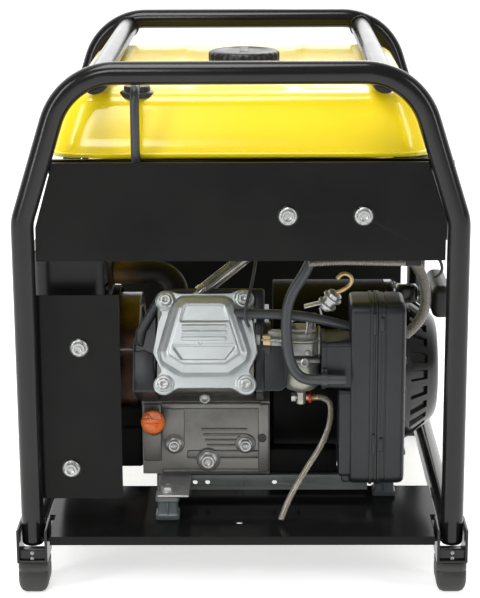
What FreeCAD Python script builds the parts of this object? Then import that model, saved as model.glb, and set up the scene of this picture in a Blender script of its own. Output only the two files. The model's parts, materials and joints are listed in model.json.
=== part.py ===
"""Open-frame portable generator: a tube frame round a tilted one-cylinder engine, an alternator and a tank.

The frame stands on four rubber feet at z = 0. +X is the recoil starter's side, -Y the valve cover's, +Z up.
The crankshaft runs along X. The cylinder leans forward from it, so the cylinder, head and covers are drawn
upright in the cylinder's own frame (bore axis along its Z) and then leant over with the engine's placement.
"""
import FreeCAD, Part
import math
import os
import re

import Sketcher
from FreeCAD import Placement, Rotation, Vector

doc = FreeCAD.newDocument("Generator")
sheet = doc.addObject("Spreadsheet::Sheet", "Sizes")

DIMENSIONS = {
    # frame of bent tube
    "tube_dia": 22.2, "leg_x": 209, "hoop_y": 239, "rail_z": 52, "knee_z": 376, "shoulder_x": 164.2,
    "top_z": 518, "foot_bend": 35, "knee_bend": 40, "top_bend": 65, "bend_run": 40,
    "top_rail_x": 137, "top_rail_z": 509, "weld_gap": 0.3, "hoop_seat_dia": 22.8,
    # feet
    "foot_x_in": 193, "foot_x_out": 223.5, "foot_y_in": 219, "foot_y_out": 259, "foot_top": 33,
    "bracket_sheet": 2.8, "bracket_top": 68, "foot_round": 6,
    # trays and plates
    "sheet_thick": 2, "tray_top": 58, "tray_lip": 9, "tray_x": 197.5, "tray_notch_x": 191.5,
    "tray_notch_y": 190,
    "tray_edge_y": 250, "front_tray_in": 105, "rear_tray_in": 161, "drain_hole_r": 4, "drain_hole_x": -3,
    "drain_hole_y": -211,
    "plate_bottom": 337, "plate_top": 433, "plate_x": 196.6, "plate_top_x": 178.6, "plate_fold": 12,
    "plate_bolt_z": 381, "plate_bolt_a": 45.4, "plate_bolt_b": 117.7, "bolt_hole_r": 4.3,
    "shield_left": -205, "shield_right": -119, "shield_bottom": 90, "shield_top": 300, "shield_y": -227,
    "shield_bolt_ax": -159, "shield_bolt_az": 247, "shield_bolt_bx": -170, "shield_bolt_bz": 122,
    # fasteners
    "bolt_r": 4, "bolt_hex": 7.5, "bolt_head": 5.5, "bolt_flange_r": 9, "bolt_flange": 1.6, "bolt_reach": 9,
    # engine placing
    "crank_y": -52, "crank_z": 176, "engine_lean": 25, "cylinder_x": -36,
    # subframe and rubber mounts
    "beam_low": 67, "beam_top": 83, "beam_wide": 30, "beam_sheet": 2.5, "beam_left": -90, "beam_right": 130,
    "front_beam_y": -141, "rear_beam_y": 166, "bar_a": -86, "bar_b": -5, "beam_gap": 0.3, "beam_hole_r": 2.6,
    "mount_size": 24, "mount_top": 83, "mount_gap": 0.2, "mount_plate": 2.5, "mount_nut": 5.5,
    "mount_fl_x": -76, "mount_fl_y": -194, "mount_fr_x": 148, "mount_fr_y": -126,
    "mount_rl_x": -112, "mount_rr_x": 152, "mount_r_y": 181,
    # crankcase
    "case_left": -104, "case_right": 28, "case_front": -144, "case_rear": 33, "case_low": 86,
    "case_high": 222,
    "case_shoulder_y": -95, "case_shoulder_z": 165, "case_wall": 8, "case_floor": 10,
    "barrel_left": -84, "barrel_right": 12, "barrel_half": 42, "barrel_start": 30, "deck": 105,
    "bore_r": 34.05, "journal_r": 12.5, "journal_hole_r": 12.55, "cam_r": 7, "cam_hole_r": 7.05,
    "cam_dy": 27.1, "cam_dz": -36.2, "neck_x": -92, "neck_side": -71.3, "neck_r": 11.5, "neck_end": 79,
    "neck_hole_r": 8.3, "neck_reach": 40, "case_nut_z": 119, "case_nut_ax": -71, "case_nut_bx": 3,
    "drain_bolt_x": -36, "drain_bolt_z": 102,
    # crank train
    "throw": 23, "pin_r": 10, "pin_hole_r": 10.05, "web_r": 34, "web_in": 11, "web_out": 26, "rod_half": 10,
    "rod_big_r": 14.5, "rod_small_r": 9, "rod_length": 62, "rod_shank": 6, "wrist_hole_r": 5,
    "piston_r": 34, "piston_low": 82, "piston_high": 103, "piston_in_r": 30, "piston_in_top": 97,
    "crank_left": -188, "crank_right": 140, "gear_x": 5, "gear_wide": 10, "gear_module": 1.5,
    "crank_teeth": 20, "cam_teeth": 40, "cam_left": -103, "cam_right": 27, "lobe_r": 9, "lobe_offset": 3,
    "lobe_left": -84, "lobe_wide": 12,
    # head and valve cover, in the cylinder's frame
    "head_low": 105.3, "head_high": 157.7, "port_side": 4, "port_up": 130, "port_r": 9,
    "cover_low": 158, "cover_flange": 4, "cover_high": 176, "cover_ear_r": 10.5,
    "cover_ear_x": 40.5, "cover_ear_y": 42.6, "cover_wide": 54.4, "cover_waist": 47,
    "body_top_x": 26, "body_top_y": 45, "body_wide": 44.4, "body_wide_y": -14, "body_low_x": 23,
    "body_low_y": -31.7,
    "cover_round": 5, "cover_bolt_r": 3, "cover_head_r": 6.5,
    # cylinder shroud, in the cylinder's frame
    "shroud_left": -110, "shroud_right": 24, "shroud_low": -50, "shroud_high": 58, "shroud_back": 84,
    "shroud_front": 150, "shroud_wall": 2, "window_left": -87, "window_right": 15, "window_high": 46,
    "pipe_gap": 2.5, "plug_r": 5, "plug_cap_r": 6.5,
    # blower, flywheel and recoil starter
    "blower_left": 32, "blower_right": 150, "blower_r": 93, "blower_wall": 2, "blower_hole_r": 30,
    "wheel_left": 62, "wheel_plate": 80, "wheel_right": 102, "wheel_r": 84, "wheel_hub_r": 20,
    "vane_thick": 3,
    "vane_in": 55, "vane_count": 12, "cup_r": 34, "cup_in_r": 30, "cup_right": 124,
    "recoil_gap": 0.4, "recoil_rim": 160, "recoil_mid": 172, "recoil_mid_r": 79, "recoil_edge": 200,
    "recoil_edge_r": 58, "recoil_face": 206, "recoil_face_r": 50, "recoil_wall": 2.5, "post_r": 6,
    "post_hole_r": 6.06,
    "post_left": 168, "pulley_left": 172, "pulley_right": 188, "pulley_r": 40, "pulley_groove_r": 33,
    "guide_y": -97, "guide_z": 268, "guide_half": 9, "guide_right": 182, "guide_hole_r": 3.2, "rope_r": 2.5,
    "rope_left": 158, "rope_right": 194, "grip_right": 214, "grip_half_y": 42, "grip_half_z": 17,
    "grip_round": 8,
    # exhaust
    "pipe_r": 12, "pipe_hole_r": 9.5, "pipe_x": -66, "pipe_side": 42.3, "pipe_run": 35, "pipe_end_x": -130.6,
    "pipe_bend": 24, "muffler_left": -207, "muffler_right": -131, "muffler_front": -201, "muffler_rear": 91,
    "muffler_low": 284, "muffler_high": 338, "muffler_round": 20, "muffler_wall": 1.5, "muffler_rim": 1.8,
    "tail_r": 11, "tail_hole_r": 9.5, "tail_end": 116, "tail_x": -169, "tail_z": 311,
    # fuel and air
    "carb_y": -168, "carb_z": 234.5, "carb_left": 12.5, "carb_right": 79, "carb_tube_r": 14,
    "carb_flange": 30,
    "carb_body_left": 42, "carb_body_right": 78, "carb_body_half": 17, "carb_body_low": 219.3,
    "carb_body_high": 252,
    "throttle_x": 49, "choke_x": 70, "spindle_r": 3, "spindle_hole_r": 3.05, "spindle_low": 246,
    "lever_z": 262, "lever_thick": 2.5, "lever_reach": 13, "lever_hub_r": 6,
    "bowl_x": 60, "bowl_r": 19, "bowl_low": 186, "bowl_high": 219, "bowl_wall": 1.5, "stub_r": 5,
    "stub_low": 170,
    "drain_z": 177, "screw_left": 50, "screw_hex": 5, "screw_shank_r": 2.5, "screw_hole_r": 2.56,
    "screw_tip": 60,
    "nipple_left": 65.2, "nipple_right": 77, "nipple_r": 3.4, "nipple_collar": 5,
    "box_left": 108, "box_seam": 134.7, "box_gap": 0.3, "box_right": 163, "box_front": -211, "box_rear": -152,
    "box_low": 97, "box_high": 286, "box_wall": 2.5, "box_round": 9, "duct_left": 79.5, "duct_low": 197,
    "duct_high": 247, "taper_left": 97, "taper_low": 104, "duct_inset": 2, "duct_hole_r": 10,
    "filter_left": 118, "filter_right": 150, "filter_inset": 7,
    # alternator
    "alt_left": -196, "alt_right": -130, "alt_r": 88, "alt_in_r": 84.3, "alt_end": 4, "slot_count": 10,
    "slot_wide": 12, "core_left": -168, "core_right": -134, "core_r": 84, "core_in_r": 62.5,
    "coil_left": -134,
    "coil_right": -108, "coil_r": 80, "coil_in_r": 65, "rotor_left": -170, "rotor_right": -110, "rotor_r": 61,
    # inverter
    "inv_left": -150, "inv_right": 188, "inv_front": 200, "inv_plate": 210, "inv_rear": 226.5, "inv_low": 60,
    "inv_high": 246, "fin_count": 25, "fin_thick": 3, "inv_slot_x": -106, "inv_slot_z": 207,
    "inv_slot_half": 6,
    # control panel, in its own frame: X out of the face, Z up the face
    "panel_x": 223.3, "panel_z": 342, "panel_lean": 10, "panel_deep": 40, "panel_half": 165, "panel_high": 84,
    "panel_wall": 2.5, "panel_round": 6, "cut_gap": 0.3, "part_deep": 18,
    "outlet_a": 5, "outlet_b": 58, "outlet_wide": 34, "outlet_low": 6, "outlet_tall": 70, "outlet_proud": 0.5,
    "round_y": 130, "round_z": 41, "round_r": 21,
    "switch_y": -132, "switch_z": 41, "switch_wide": 16, "switch_tall": 26, "switch_proud": 2.5,
    "rocker_deep": 6,
    "rocker_tilt": 12,
    "knob_y": -82, "knob_z": 41, "knob_r": 19, "knob_plate": 3.5, "knob_proud": 7, "knob_stem_r": 4,
    "knob_stem_hole_r": 4.06,
    "button_y": 95, "button_z": 41, "button_r": 5.5, "button_hole_r": 5.6, "button_proud": 5,
    # tank and cap
    "tank_x": 184, "tank_y": 213, "tank_taper": 17, "tank_seam": 438, "tank_top": 493,
    "tank_round": 30, "tank_top_round": 16, "seam_x": 188, "seam_y": 219, "seam_low": 434, "tub_x": 150,
    "tub_y": 195,
    "tub_low": 404, "tank_wall": 2, "neck_out_r": 27, "neck_in_r": 22, "neck_top": 502, "fuel_neck_x": 2,
    "cap_r": 38, "cap_low": 496.5, "cap_top": 511, "cap_in_r": 28, "cap_in_top": 505, "valve_x": -100,
    "valve_y": -184, "valve_r": 17, "valve_top": 499,
    # canister, hoses and leads
    "can_left": 28, "can_right": 134, "can_front": -237.4, "can_rear": -186, "can_low": 344, "can_high": 398,
    "can_round": 14, "hose_r": 5.5, "breather_r": 5, "vent_r": 4.5, "drain_r": 3, "loom_r": 4.5,
    "clip_share": 0.45,
}

row = 1
for alias, number in DIMENSIONS.items():
    sheet.set("A%d" % row, alias)
    sheet.set("B%d" % row, str(number))
    sheet.setAlias("B%d" % row, alias)
    row += 1
doc.recompute()

TURN = {"x": Rotation(Vector(0, 1, 0), 90), "y": Rotation(Vector(1, 0, 0), -90), "z": Rotation()}
NODES = []


def formula(text):
    """The text with each named size written as a cell of the sheet."""
    return re.sub(r"[a-z][a-z_]*[a-z]", lambda word: "Sizes." + word.group() if word.group() in DIMENSIONS
                  else word.group(), str(text))


def value(text):
    """The number that a formula comes to now."""
    return float(sheet.evalExpression(formula(text)))


def link(thing, prop, text):
    thing.setExpression(prop, formula(text))


def node(name, thing):
    """Names a finished sub-part. Its label is its file's name."""
    thing.Label = name
    if thing.Label != name:
        raise RuntimeError("another object is already called " + name)
    NODES.append(thing)
    return thing


def block(name, x, y, z):
    """A box from its lowest to its highest coordinate along each axis."""
    box = doc.addObject("Part::Box", name)
    for size, axis, span in (("Length", "x", x), ("Width", "y", y), ("Height", "z", z)):
        link(box, size, "(%s) - (%s)" % (span[1], span[0]))
        link(box, "Placement.Base." + axis, span[0])
    return box


def rod(name, axis, centre, span, radius):
    """A round bar along an axis. centre is its place across the axis, in x, y, z order."""
    bar = doc.addObject("Part::Cylinder", name)
    bar.Placement = Placement(Vector(), TURN[axis])
    link(bar, "Radius", radius)
    link(bar, "Height", "(%s) - (%s)" % (span[1], span[0]))
    across = list(centre)
    for letter in "xyz":
        link(bar, "Placement.Base." + letter, span[0] if letter == axis else across.pop(0))
    return bar


def hexagon(name, axis, centre, span, radius):
    """A six-sided bar along an axis."""
    bar = doc.addObject("Part::Prism", name)
    bar.Polygon = 6
    bar.Placement = Placement(Vector(), TURN[axis])
    link(bar, "Circumradius", radius)
    link(bar, "Height", "(%s) - (%s)" % (span[1], span[0]))
    across = list(centre)
    for letter in "xyz":
        link(bar, "Placement.Base." + letter, span[0] if letter == axis else across.pop(0))
    return bar


def fuse(name, *parts):
    whole = doc.addObject("Part::MultiFuse", name)
    whole.Shapes = list(parts)
    whole.Refine = True
    return whole


def cut(name, base, *tools):
    tool = tools[0] if len(tools) == 1 else fuse(name + "_tools", *tools)
    whole = doc.addObject("Part::Cut", name)
    whole.Base = base
    whole.Tool = tool
    return whole


def group(name, *parts):
    """Several separate solids of one kind in one node."""
    whole = doc.addObject("Part::Compound", name)
    whole.Links = list(parts)
    return whole


def mirrored(name, thing, normal):
    copy = doc.addObject("Part::Mirroring", name)
    copy.Source = thing
    copy.Normal = normal
    return copy


def rounded(name, thing, radius, wanted):
    """The thing with a fillet on every edge that wanted picks."""
    doc.recompute()
    soft = doc.addObject("Part::Fillet", name)
    soft.Base = thing
    size = value(radius)
    soft.Edges = [(i + 1, size, size) for i, edge in enumerate(thing.Shape.Edges) if wanted(edge)]
    return soft


def runs_along(direction):
    """Picks straight edges that run along a direction."""
    def test(edge):
        if edge.Curve.TypeId != "Part::GeomLine":
            return False
        return abs(edge.tangentAt(edge.FirstParameter).dot(direction)) > 0.999
    return test


def upright(edge):
    return runs_along(Vector(0, 0, 1))(edge)


def plane_of(body, role):
    return [feature for feature in body.Origin.OriginFeatures if feature.Role == role][0]


def outline(body, role, corners, holes=(), offset=None):
    """A sketch of a closed outline with round holes, every corner and centre tied to the sheet."""
    sketch = body.newObject("Sketcher::SketchObject", body.Name + "_outline")
    sketch.AttachmentSupport = [(plane_of(body, role), "")]
    sketch.MapMode = "FlatFace"
    if offset is not None:
        link(sketch, "AttachmentOffset.Base.z", offset)
    places = [Vector(value(x), value(y), 0) for x, y in corners]
    lines = [sketch.addGeometry(Part.LineSegment(places[i], places[(i + 1) % len(places)]), False)
             for i in range(len(places))]
    for i, line in enumerate(lines):
        sketch.addConstraint(Sketcher.Constraint("Coincident", line, 2, lines[(i + 1) % len(lines)], 1))
    for line, corner in zip(lines, corners):
        tie(sketch, line, 1, corner)
    for x, y, radius in holes:
        circle = sketch.addGeometry(Part.Circle(Vector(value(x), value(y), 0), Vector(0, 0, 1),
                                                value(radius)), False)
        tie(sketch, circle, 3, (x, y))
        size = sketch.addConstraint(Sketcher.Constraint("Radius", circle, value(radius)))
        link(sketch, "Constraints[%d]" % size, radius)
    return sketch


def tie(sketch, geometry, point, place):
    for kind, text in zip(("DistanceX", "DistanceY"), place):
        index = sketch.addConstraint(Sketcher.Constraint(kind, -1, 1, geometry, point, value(text)))
        link(sketch, "Constraints[%d]" % index, text)


def pad(body, sketch, length, back=False):
    feature = body.newObject("PartDesign::Pad", body.Name + "_pad")
    feature.Profile = sketch
    feature.Reversed = back
    link(feature, "Length", length)
    return feature


def padded(name, role, corners, span, holes=()):
    """A body made by padding one outline from span's start to its end along the plane's normal."""
    body = doc.addObject("PartDesign::Body", name)
    pad(body, outline(body, role, corners, holes, span[0]), "(%s) - (%s)" % (span[1], span[0]))
    return body


def turned(name, profile):
    """A body turned about the X axis from a profile of (x, radius) corners."""
    body = doc.addObject("PartDesign::Body", name)
    sketch = outline(body, "XZ_Plane", profile)
    turn = body.newObject("PartDesign::Revolution", name + "_turn")
    turn.Profile = sketch
    turn.ReferenceAxis = (sketch, ["H_Axis"])
    turn.Angle = 360
    return body


def carried(thing):
    """A primitive inside a compound, so that moving the compound keeps the primitive's own place."""
    if thing.TypeId in ("Part::Box", "Part::Cylinder", "Part::Prism"):
        return group(thing.Name + "_placed", thing)
    return thing


def on_crank(thing):
    """Moves a piece drawn about the X axis to the crankshaft."""
    link(thing, "Placement.Base.y", "crank_y")
    link(thing, "Placement.Base.z", "crank_z")
    return thing


def lean(thing):
    """Leans a piece drawn in the cylinder's frame over with the engine."""
    thing = carried(thing)
    thing.Placement = Placement(Vector(), Rotation(Vector(1, 0, 0), 90 - DIMENSIONS["engine_lean"]))
    link(thing, "Placement.Rotation.Angle", "90 - engine_lean")
    return on_crank(thing)


def on_panel(thing):
    """Moves a piece drawn in the control panel's frame to the panel."""
    thing = carried(thing)
    thing.Placement = Placement(Vector(), Rotation(Vector(0, -1, 0), DIMENSIONS["panel_lean"]))
    link(thing, "Placement.Rotation.Angle", "panel_lean")
    link(thing, "Placement.Base.x", "panel_x")
    link(thing, "Placement.Base.z", "panel_z")
    return thing


def leant_point(x, side, up):
    """A point of the cylinder's frame, in the generator's frame."""
    turn = Rotation(Vector(1, 0, 0), 90 - value("engine_lean"))
    return turn.multVec(Vector(value(x), value(side), value(up))) + Vector(0, value("crank_y"),
                                                                           value("crank_z"))


def bent_line(points, radii):
    """A wire of straight runs joined by tangent arcs."""
    edges = []
    start = points[0]
    for before, corner, after, radius in zip(points, points[1:], points[2:], radii):
        inward = (before - corner).normalize()
        outward = (after - corner).normalize()
        half = inward.getAngle(outward) / 2
        reach = radius / math.tan(half)
        first = corner + inward * reach
        last = corner + outward * reach
        middle = corner + (inward + outward).normalize() * (radius / math.sin(half) - radius)
        edges.append(Part.LineSegment(start, first).toShape())
        edges.append(Part.Arc(first, middle, last).toShape())
        start = last
    edges.append(Part.LineSegment(start, points[-1]).toShape())
    return Part.Wire(edges)


def swept(path, radius):
    start = path.Edges[0].valueAt(path.Edges[0].FirstParameter)
    heading = path.Edges[0].tangentAt(path.Edges[0].FirstParameter)
    ring = Part.Wire(Part.makeCircle(radius, start, heading))
    return path.makePipeShell([ring], True, True)


def shape_of(name, shape):
    """A sub-part whose bent shape no primitive makes. It reads its sizes from the sheet."""
    feature = doc.addObject("Part::Feature", name)
    feature.Shape = shape
    feature.Placement = Placement()
    return feature


def hose_shape(points, radius):
    """A round hose whose bends are as large as its runs allow. Prints its radii and compares its volume."""
    places = [Vector(*point) for point in points]
    radii = []
    for before, corner, after in zip(places, places[1:], places[2:]):
        turn = math.pi - (before - corner).getAngle(after - corner)
        shorter = min((before - corner).Length, (after - corner).Length)
        radii.append(value("clip_share") * shorter / math.tan(turn / 2))
    path = bent_line(places, radii)
    shape = swept(path, radius)
    print("bend radii", [round(bend, 1) for bend in radii], "length", round(path.Length, 1),
          "volume share", round(shape.Volume / (math.pi * radius ** 2 * path.Length), 4))
    return shape


# ---------------------------------------------------------------- frame

def hoop_path(side):
    """The centreline of one inverted U, with slanted shoulders and its feet bent back under the frame."""
    y = side * value("hoop_y")
    back = y - side * value("bend_run")
    right = [(value("leg_x"), back, value("rail_z")), (value("leg_x"), y, value("rail_z")),
             (value("leg_x"), y, value("knee_z")), (value("shoulder_x"), y, value("top_z"))]
    left = [(-x, place, z) for x, place, z in reversed(right)]
    bends = [value("foot_bend"), value("knee_bend"), value("top_bend")]
    return bent_line([Vector(*point) for point in right + left], bends + bends[::-1])


def frame_tubes():
    seats = []
    for name, side in (("front_hoop", -1), ("rear_hoop", 1)):
        path = hoop_path(side)
        node(name, shape_of(name, swept(path, value("tube_dia / 2"))))
        seats.append(shape_of(name + "_seat", swept(path, value("hoop_seat_dia / 2"))))
    rails = []
    bases = []
    for side in ("-", ""):
        rail = rod("top_rail", "y", (side + "top_rail_x", "top_rail_z"), ("-hoop_y", "hoop_y"),
                   "tube_dia / 2")
        rails.append(cut("coped_rail", rail, *seats))
        bases.append(rod("base_rail", "y", (side + "leg_x", "rail_z"),
                         ("bend_run - hoop_y + weld_gap", "hoop_y - bend_run - weld_gap"), "tube_dia / 2"))
    node("top_rails", group("top_rails", *rails))
    node("base_rails", group("base_rails", *bases))


def feet():
    cradle = cut("foot_cradle",
                 block("cradle_outside", ("foot_x_in", "foot_x_out"), ("foot_y_in", "foot_y_out"),
                       ("foot_top + mount_gap", "bracket_top")),
                 block("cradle_inside", ("foot_x_in + bracket_sheet", "foot_x_out - bracket_sheet"),
                       ("foot_y_in - 1", "foot_y_out + 1"), ("foot_top + mount_gap + bracket_sheet",
                                                             "bracket_top + 1")))
    rubber = rounded("foot_rubber",
                     block("foot_block", ("foot_x_in", "foot_x_out"), ("foot_y_in", "foot_y_out"),
                           ("0", "foot_top")),
                     "foot_round", lambda edge: edge.BoundBox.ZMax < value("foot_top"))
    for name, corner in (("foot_brackets", cradle), ("rubber_feet", rubber)):
        left = mirrored(name + "_left", corner, Vector(1, 0, 0))
        pair = [corner, left]
        rear = [mirrored(name + "_front", foot, Vector(0, 1, 0)) for foot in pair]
        node(name, group(name, *(pair + rear)))


def tray(name, inner, holes=()):
    """A pressed tray across the rails at the front, with its two lips turned down."""
    edge = "-tray_edge_y"
    corners = [("-tray_notch_x", edge), ("tray_notch_x", edge), ("tray_notch_x", "-tray_notch_y"),
               ("tray_x", "-tray_notch_y"), ("tray_x", inner), ("-tray_x", inner), ("-tray_x",
                                                                                    "-tray_notch_y"),
               ("-tray_notch_x", "-tray_notch_y")]
    top = padded(name + "_top", "XY_Plane", corners, ("tray_top - sheet_thick", "tray_top"), holes)
    lips = [block(name + "_lip", ("-tray_notch_x", "tray_notch_x"), span,
                  ("tray_top - tray_lip", "tray_top - 1"))
            for span in ((edge, edge + " + sheet_thick"), (inner + " - sheet_thick", inner))]
    return fuse(name, top, *lips)


def trays():
    drain_hole = ("drain_hole_x", "drain_hole_y", "drain_hole_r")
    node("front_tray", tray("front_tray", "-front_tray_in", [drain_hole]))
    node("rear_tray", mirrored("rear_tray", tray("rear_tray_source", "-rear_tray_in"), Vector(0, 1, 0)))


def cross_plate(name, holes=()):
    """The wide sheet across a hoop, under the tank, with its lower edge folded inwards."""
    corners = [("-plate_x", "plate_bottom"), ("plate_x", "plate_bottom"), ("plate_x", "knee_z - 6"),
               ("plate_top_x", "plate_top"), ("-plate_top_x", "plate_top"), ("-plate_x", "knee_z - 6")]
    web = padded(name + "_web", "XZ_Plane", corners, ("hoop_y - sheet_thick / 2", "hoop_y + sheet_thick / 2"),
                 holes)
    fold = block(name + "_fold", ("-plate_x", "plate_x"), ("-hoop_y", "plate_fold - hoop_y"),
                 ("plate_bottom", "plate_bottom + sheet_thick"))
    return fuse(name, web, fold)


def plates():
    holes = [(x, "plate_bolt_z", "bolt_hole_r") for x in ("plate_bolt_a", "plate_bolt_b")]
    node("front_cross_plate", cross_plate("front_cross_plate", holes))
    node("rear_cross_plate", mirrored("rear_cross_plate", cross_plate("rear_plate_source"), Vector(0, 1, 0)))
    corners = [("shield_left", "shield_bottom"), ("shield_right", "shield_bottom"),
               ("shield_right", "shield_top"),
               ("shield_left", "shield_top")]
    shield_holes = [("shield_bolt_ax", "shield_bolt_az", "bolt_hole_r"),
                    ("shield_bolt_bx", "shield_bolt_bz", "bolt_hole_r")]
    node("left_shield", padded("left_shield", "XZ_Plane", corners,
                               ("-shield_y - sheet_thick", "-shield_y"), shield_holes))


def front_bolt(name, x, z, face, reach="bolt_reach"):
    """A flange bolt that faces -Y, its flange on the plane y = face and its shank as long as its reach."""
    head = ("%s - bolt_flange - bolt_head" % face, face)
    return fuse(name, rod(name + "_flange", "y", (x, z), (face + " - bolt_flange", face), "bolt_flange_r"),
                hexagon(name + "_hex", "y", (x, z), head, "bolt_hex"),
                rod(name + "_shank", "y", (x, z), (head[0], "%s + %s" % (face, reach)), "bolt_r"))


def frame_bolts():
    face = "-hoop_y - sheet_thick / 2"
    bolts = [front_bolt("plate_bolt", x, "plate_bolt_z", face) for x in ("plate_bolt_a", "plate_bolt_b")]
    bolts.append(front_bolt("shield_bolt", "shield_bolt_ax", "shield_bolt_az", "shield_y"))
    bolts.append(front_bolt("shield_bolt", "shield_bolt_bx", "shield_bolt_bz", "shield_y"))
    return bolts


# ---------------------------------------------------------------- subframe and rubber mounts

def channel(name, x, y, run, holes=()):
    """A steel channel with its open side down. run is the axis it runs along."""
    outside = block(name + "_outside", x, y, ("beam_low", "beam_top"))
    if run == "x":
        inside = block(name + "_inside", (x[0] + " - 1", x[1] + " + 1"),
                       (y[0] + " + beam_sheet", y[1] + " - beam_sheet"), ("beam_low - 1",
                                                                          "beam_top - beam_sheet"))
    else:
        inside = block(name + "_inside", (x[0] + " + beam_sheet", x[1] + " - beam_sheet"),
                       (y[0] + " - 1", y[1] + " + 1"), ("beam_low - 1", "beam_top - beam_sheet"))
    return cut(name, outside, inside, *holes)


def subframe():
    hole_row = [rod("beam_hole", "y", (x, "(beam_low + beam_top) / 2"),
                    ("front_beam_y - 1", "front_beam_y + 6"),
                    "beam_hole_r") for x in ("-50", "-37", "33", "58")]
    front = channel("front_beam", ("beam_left", "beam_right"), ("front_beam_y", "front_beam_y + beam_wide"),
                    "x",
                    hole_row)
    rear = channel("rear_beam", ("beam_left", "beam_right"), ("rear_beam_y", "rear_beam_y + beam_wide"), "x")
    between = ("front_beam_y + beam_wide + beam_gap", "rear_beam_y - beam_gap")
    bars = [channel("bar", (left, left + " + beam_wide"), between, "y") for left in ("bar_a", "bar_b")]
    node("engine_subframe", group("engine_subframe", front, rear, *bars))


def rubber_mounts():
    """Four rubber blocks on the trays, each with a plated strap and a nut that carries a beam's end."""
    half = "mount_size / 2"
    places = (("mount_fl_x", "mount_fl_y", ("-86", "-54"), ("mount_fl_y - 13", "front_beam_y + 20")),
              ("mount_fr_x", "mount_fr_y", ("100", "161"), ("mount_fr_y - 14", "mount_fr_y + 14")),
              ("mount_rl_x", "mount_r_y", ("-125", "-60"), ("mount_r_y - 14", "mount_r_y + 14")),
              ("mount_rr_x", "mount_r_y", ("100", "165"), ("mount_r_y - 14", "mount_r_y + 14")))
    rubbers = []
    metal = []
    for x, y, strap_x, strap_y in places:
        rubbers.append(block("mount_rubber", (x + " - " + half, x + " + " + half),
                             (y + " - " + half, y + " + " + half),
                             ("tray_top + mount_gap", "mount_top")))
        strap_z = ("mount_top + mount_gap", "mount_top + mount_gap + mount_plate")
        strap = block("mount_strap", strap_x, strap_y, strap_z)
        nut = hexagon("mount_nut", "z", (x, y), (strap_z[0], strap_z[1] + " + mount_nut"), "bolt_hex")
        metal.append(fuse("mount_metal", strap, nut))
    node("rubber_mounts", group("rubber_mounts", *rubbers))
    node("mount_straps", group("mount_straps", *metal))


# ---------------------------------------------------------------- engine

def crankcase():
    profile = [("case_front", "case_low"), ("case_rear", "case_low"), ("case_rear", "case_high"),
               ("case_shoulder_y", "case_high"), ("case_front", "case_shoulder_z")]
    shell = padded("case_shell", "YZ_Plane", profile, ("case_left", "case_right"))
    barrel = lean(fuse("case_barrel",
                       block("barrel", ("barrel_left", "barrel_right"), ("-barrel_half", "barrel_half"),
                             ("barrel_start", "deck")),
                       rod("oil_neck", "z", ("neck_x", "neck_side"), ("neck_reach", "neck_end"), "neck_r")))
    body = fuse("case_body", shell, barrel)
    hollow_profile = [("case_front + case_wall", "case_low + case_floor"),
                      ("case_rear - case_wall", "case_low + case_floor"),
                      ("case_rear - case_wall", "case_high - case_wall"),
                      ("case_shoulder_y", "case_high - case_wall"),
                      ("case_front + case_wall", "case_shoulder_z - case_wall")]
    hollow = padded("case_hollow", "YZ_Plane", hollow_profile, ("case_left + case_wall",
                                                                "case_right - case_wall"))
    bore = lean(rod("bore", "z", ("cylinder_x", "0"), ("0", "deck + 1"), "bore_r"))
    neck_bore = lean(rod("neck_bore", "z", ("neck_x", "neck_side"), ("neck_reach", "neck_end + 1"),
                         "neck_hole_r"))
    through = ("case_left - 1", "case_right + 1")
    main = rod("main_bore", "x", ("crank_y", "crank_z"), through, "journal_hole_r")
    cam = rod("cam_bore", "x", ("crank_y + cam_dy", "crank_z + cam_dz"), through, "cam_hole_r")
    node("crankcase", cut("crankcase", body, hollow, bore, neck_bore, main, cam))


def toothed(teeth, module, width):
    """A spur gear about the X axis, with straight-sided teeth a little thinner than their gaps,
    so that they run free."""
    pitch_r = module * teeth / 2
    steps = ((-0.31, -1.2), (-0.21, 0.0), (-0.11, 0.95), (0.11, 0.95), (0.21, 0.0), (0.31, -1.2))
    corners = []
    for tooth in range(int(teeth)):
        for share, height in steps:
            angle = 2 * math.pi * (tooth + share) / teeth
            radius = pitch_r + height * module
            corners.append(Vector(0, radius * math.cos(angle), radius * math.sin(angle)))
    corners.append(corners[0])
    return Part.Face(Part.makePolygon(corners)).extrude(Vector(width, 0, 0))


def gear(name, teeth, phase):
    """A gear that starts at gear_x, its first tooth turned to the phase in degrees."""
    wheel = shape_of(name, toothed(value(teeth), value("gear_module"), value("gear_wide")))
    wheel.Placement = Placement(Vector(), Rotation(Vector(1, 0, 0), phase))
    link(wheel, "Placement.Base.x", "gear_x")
    return wheel


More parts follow.
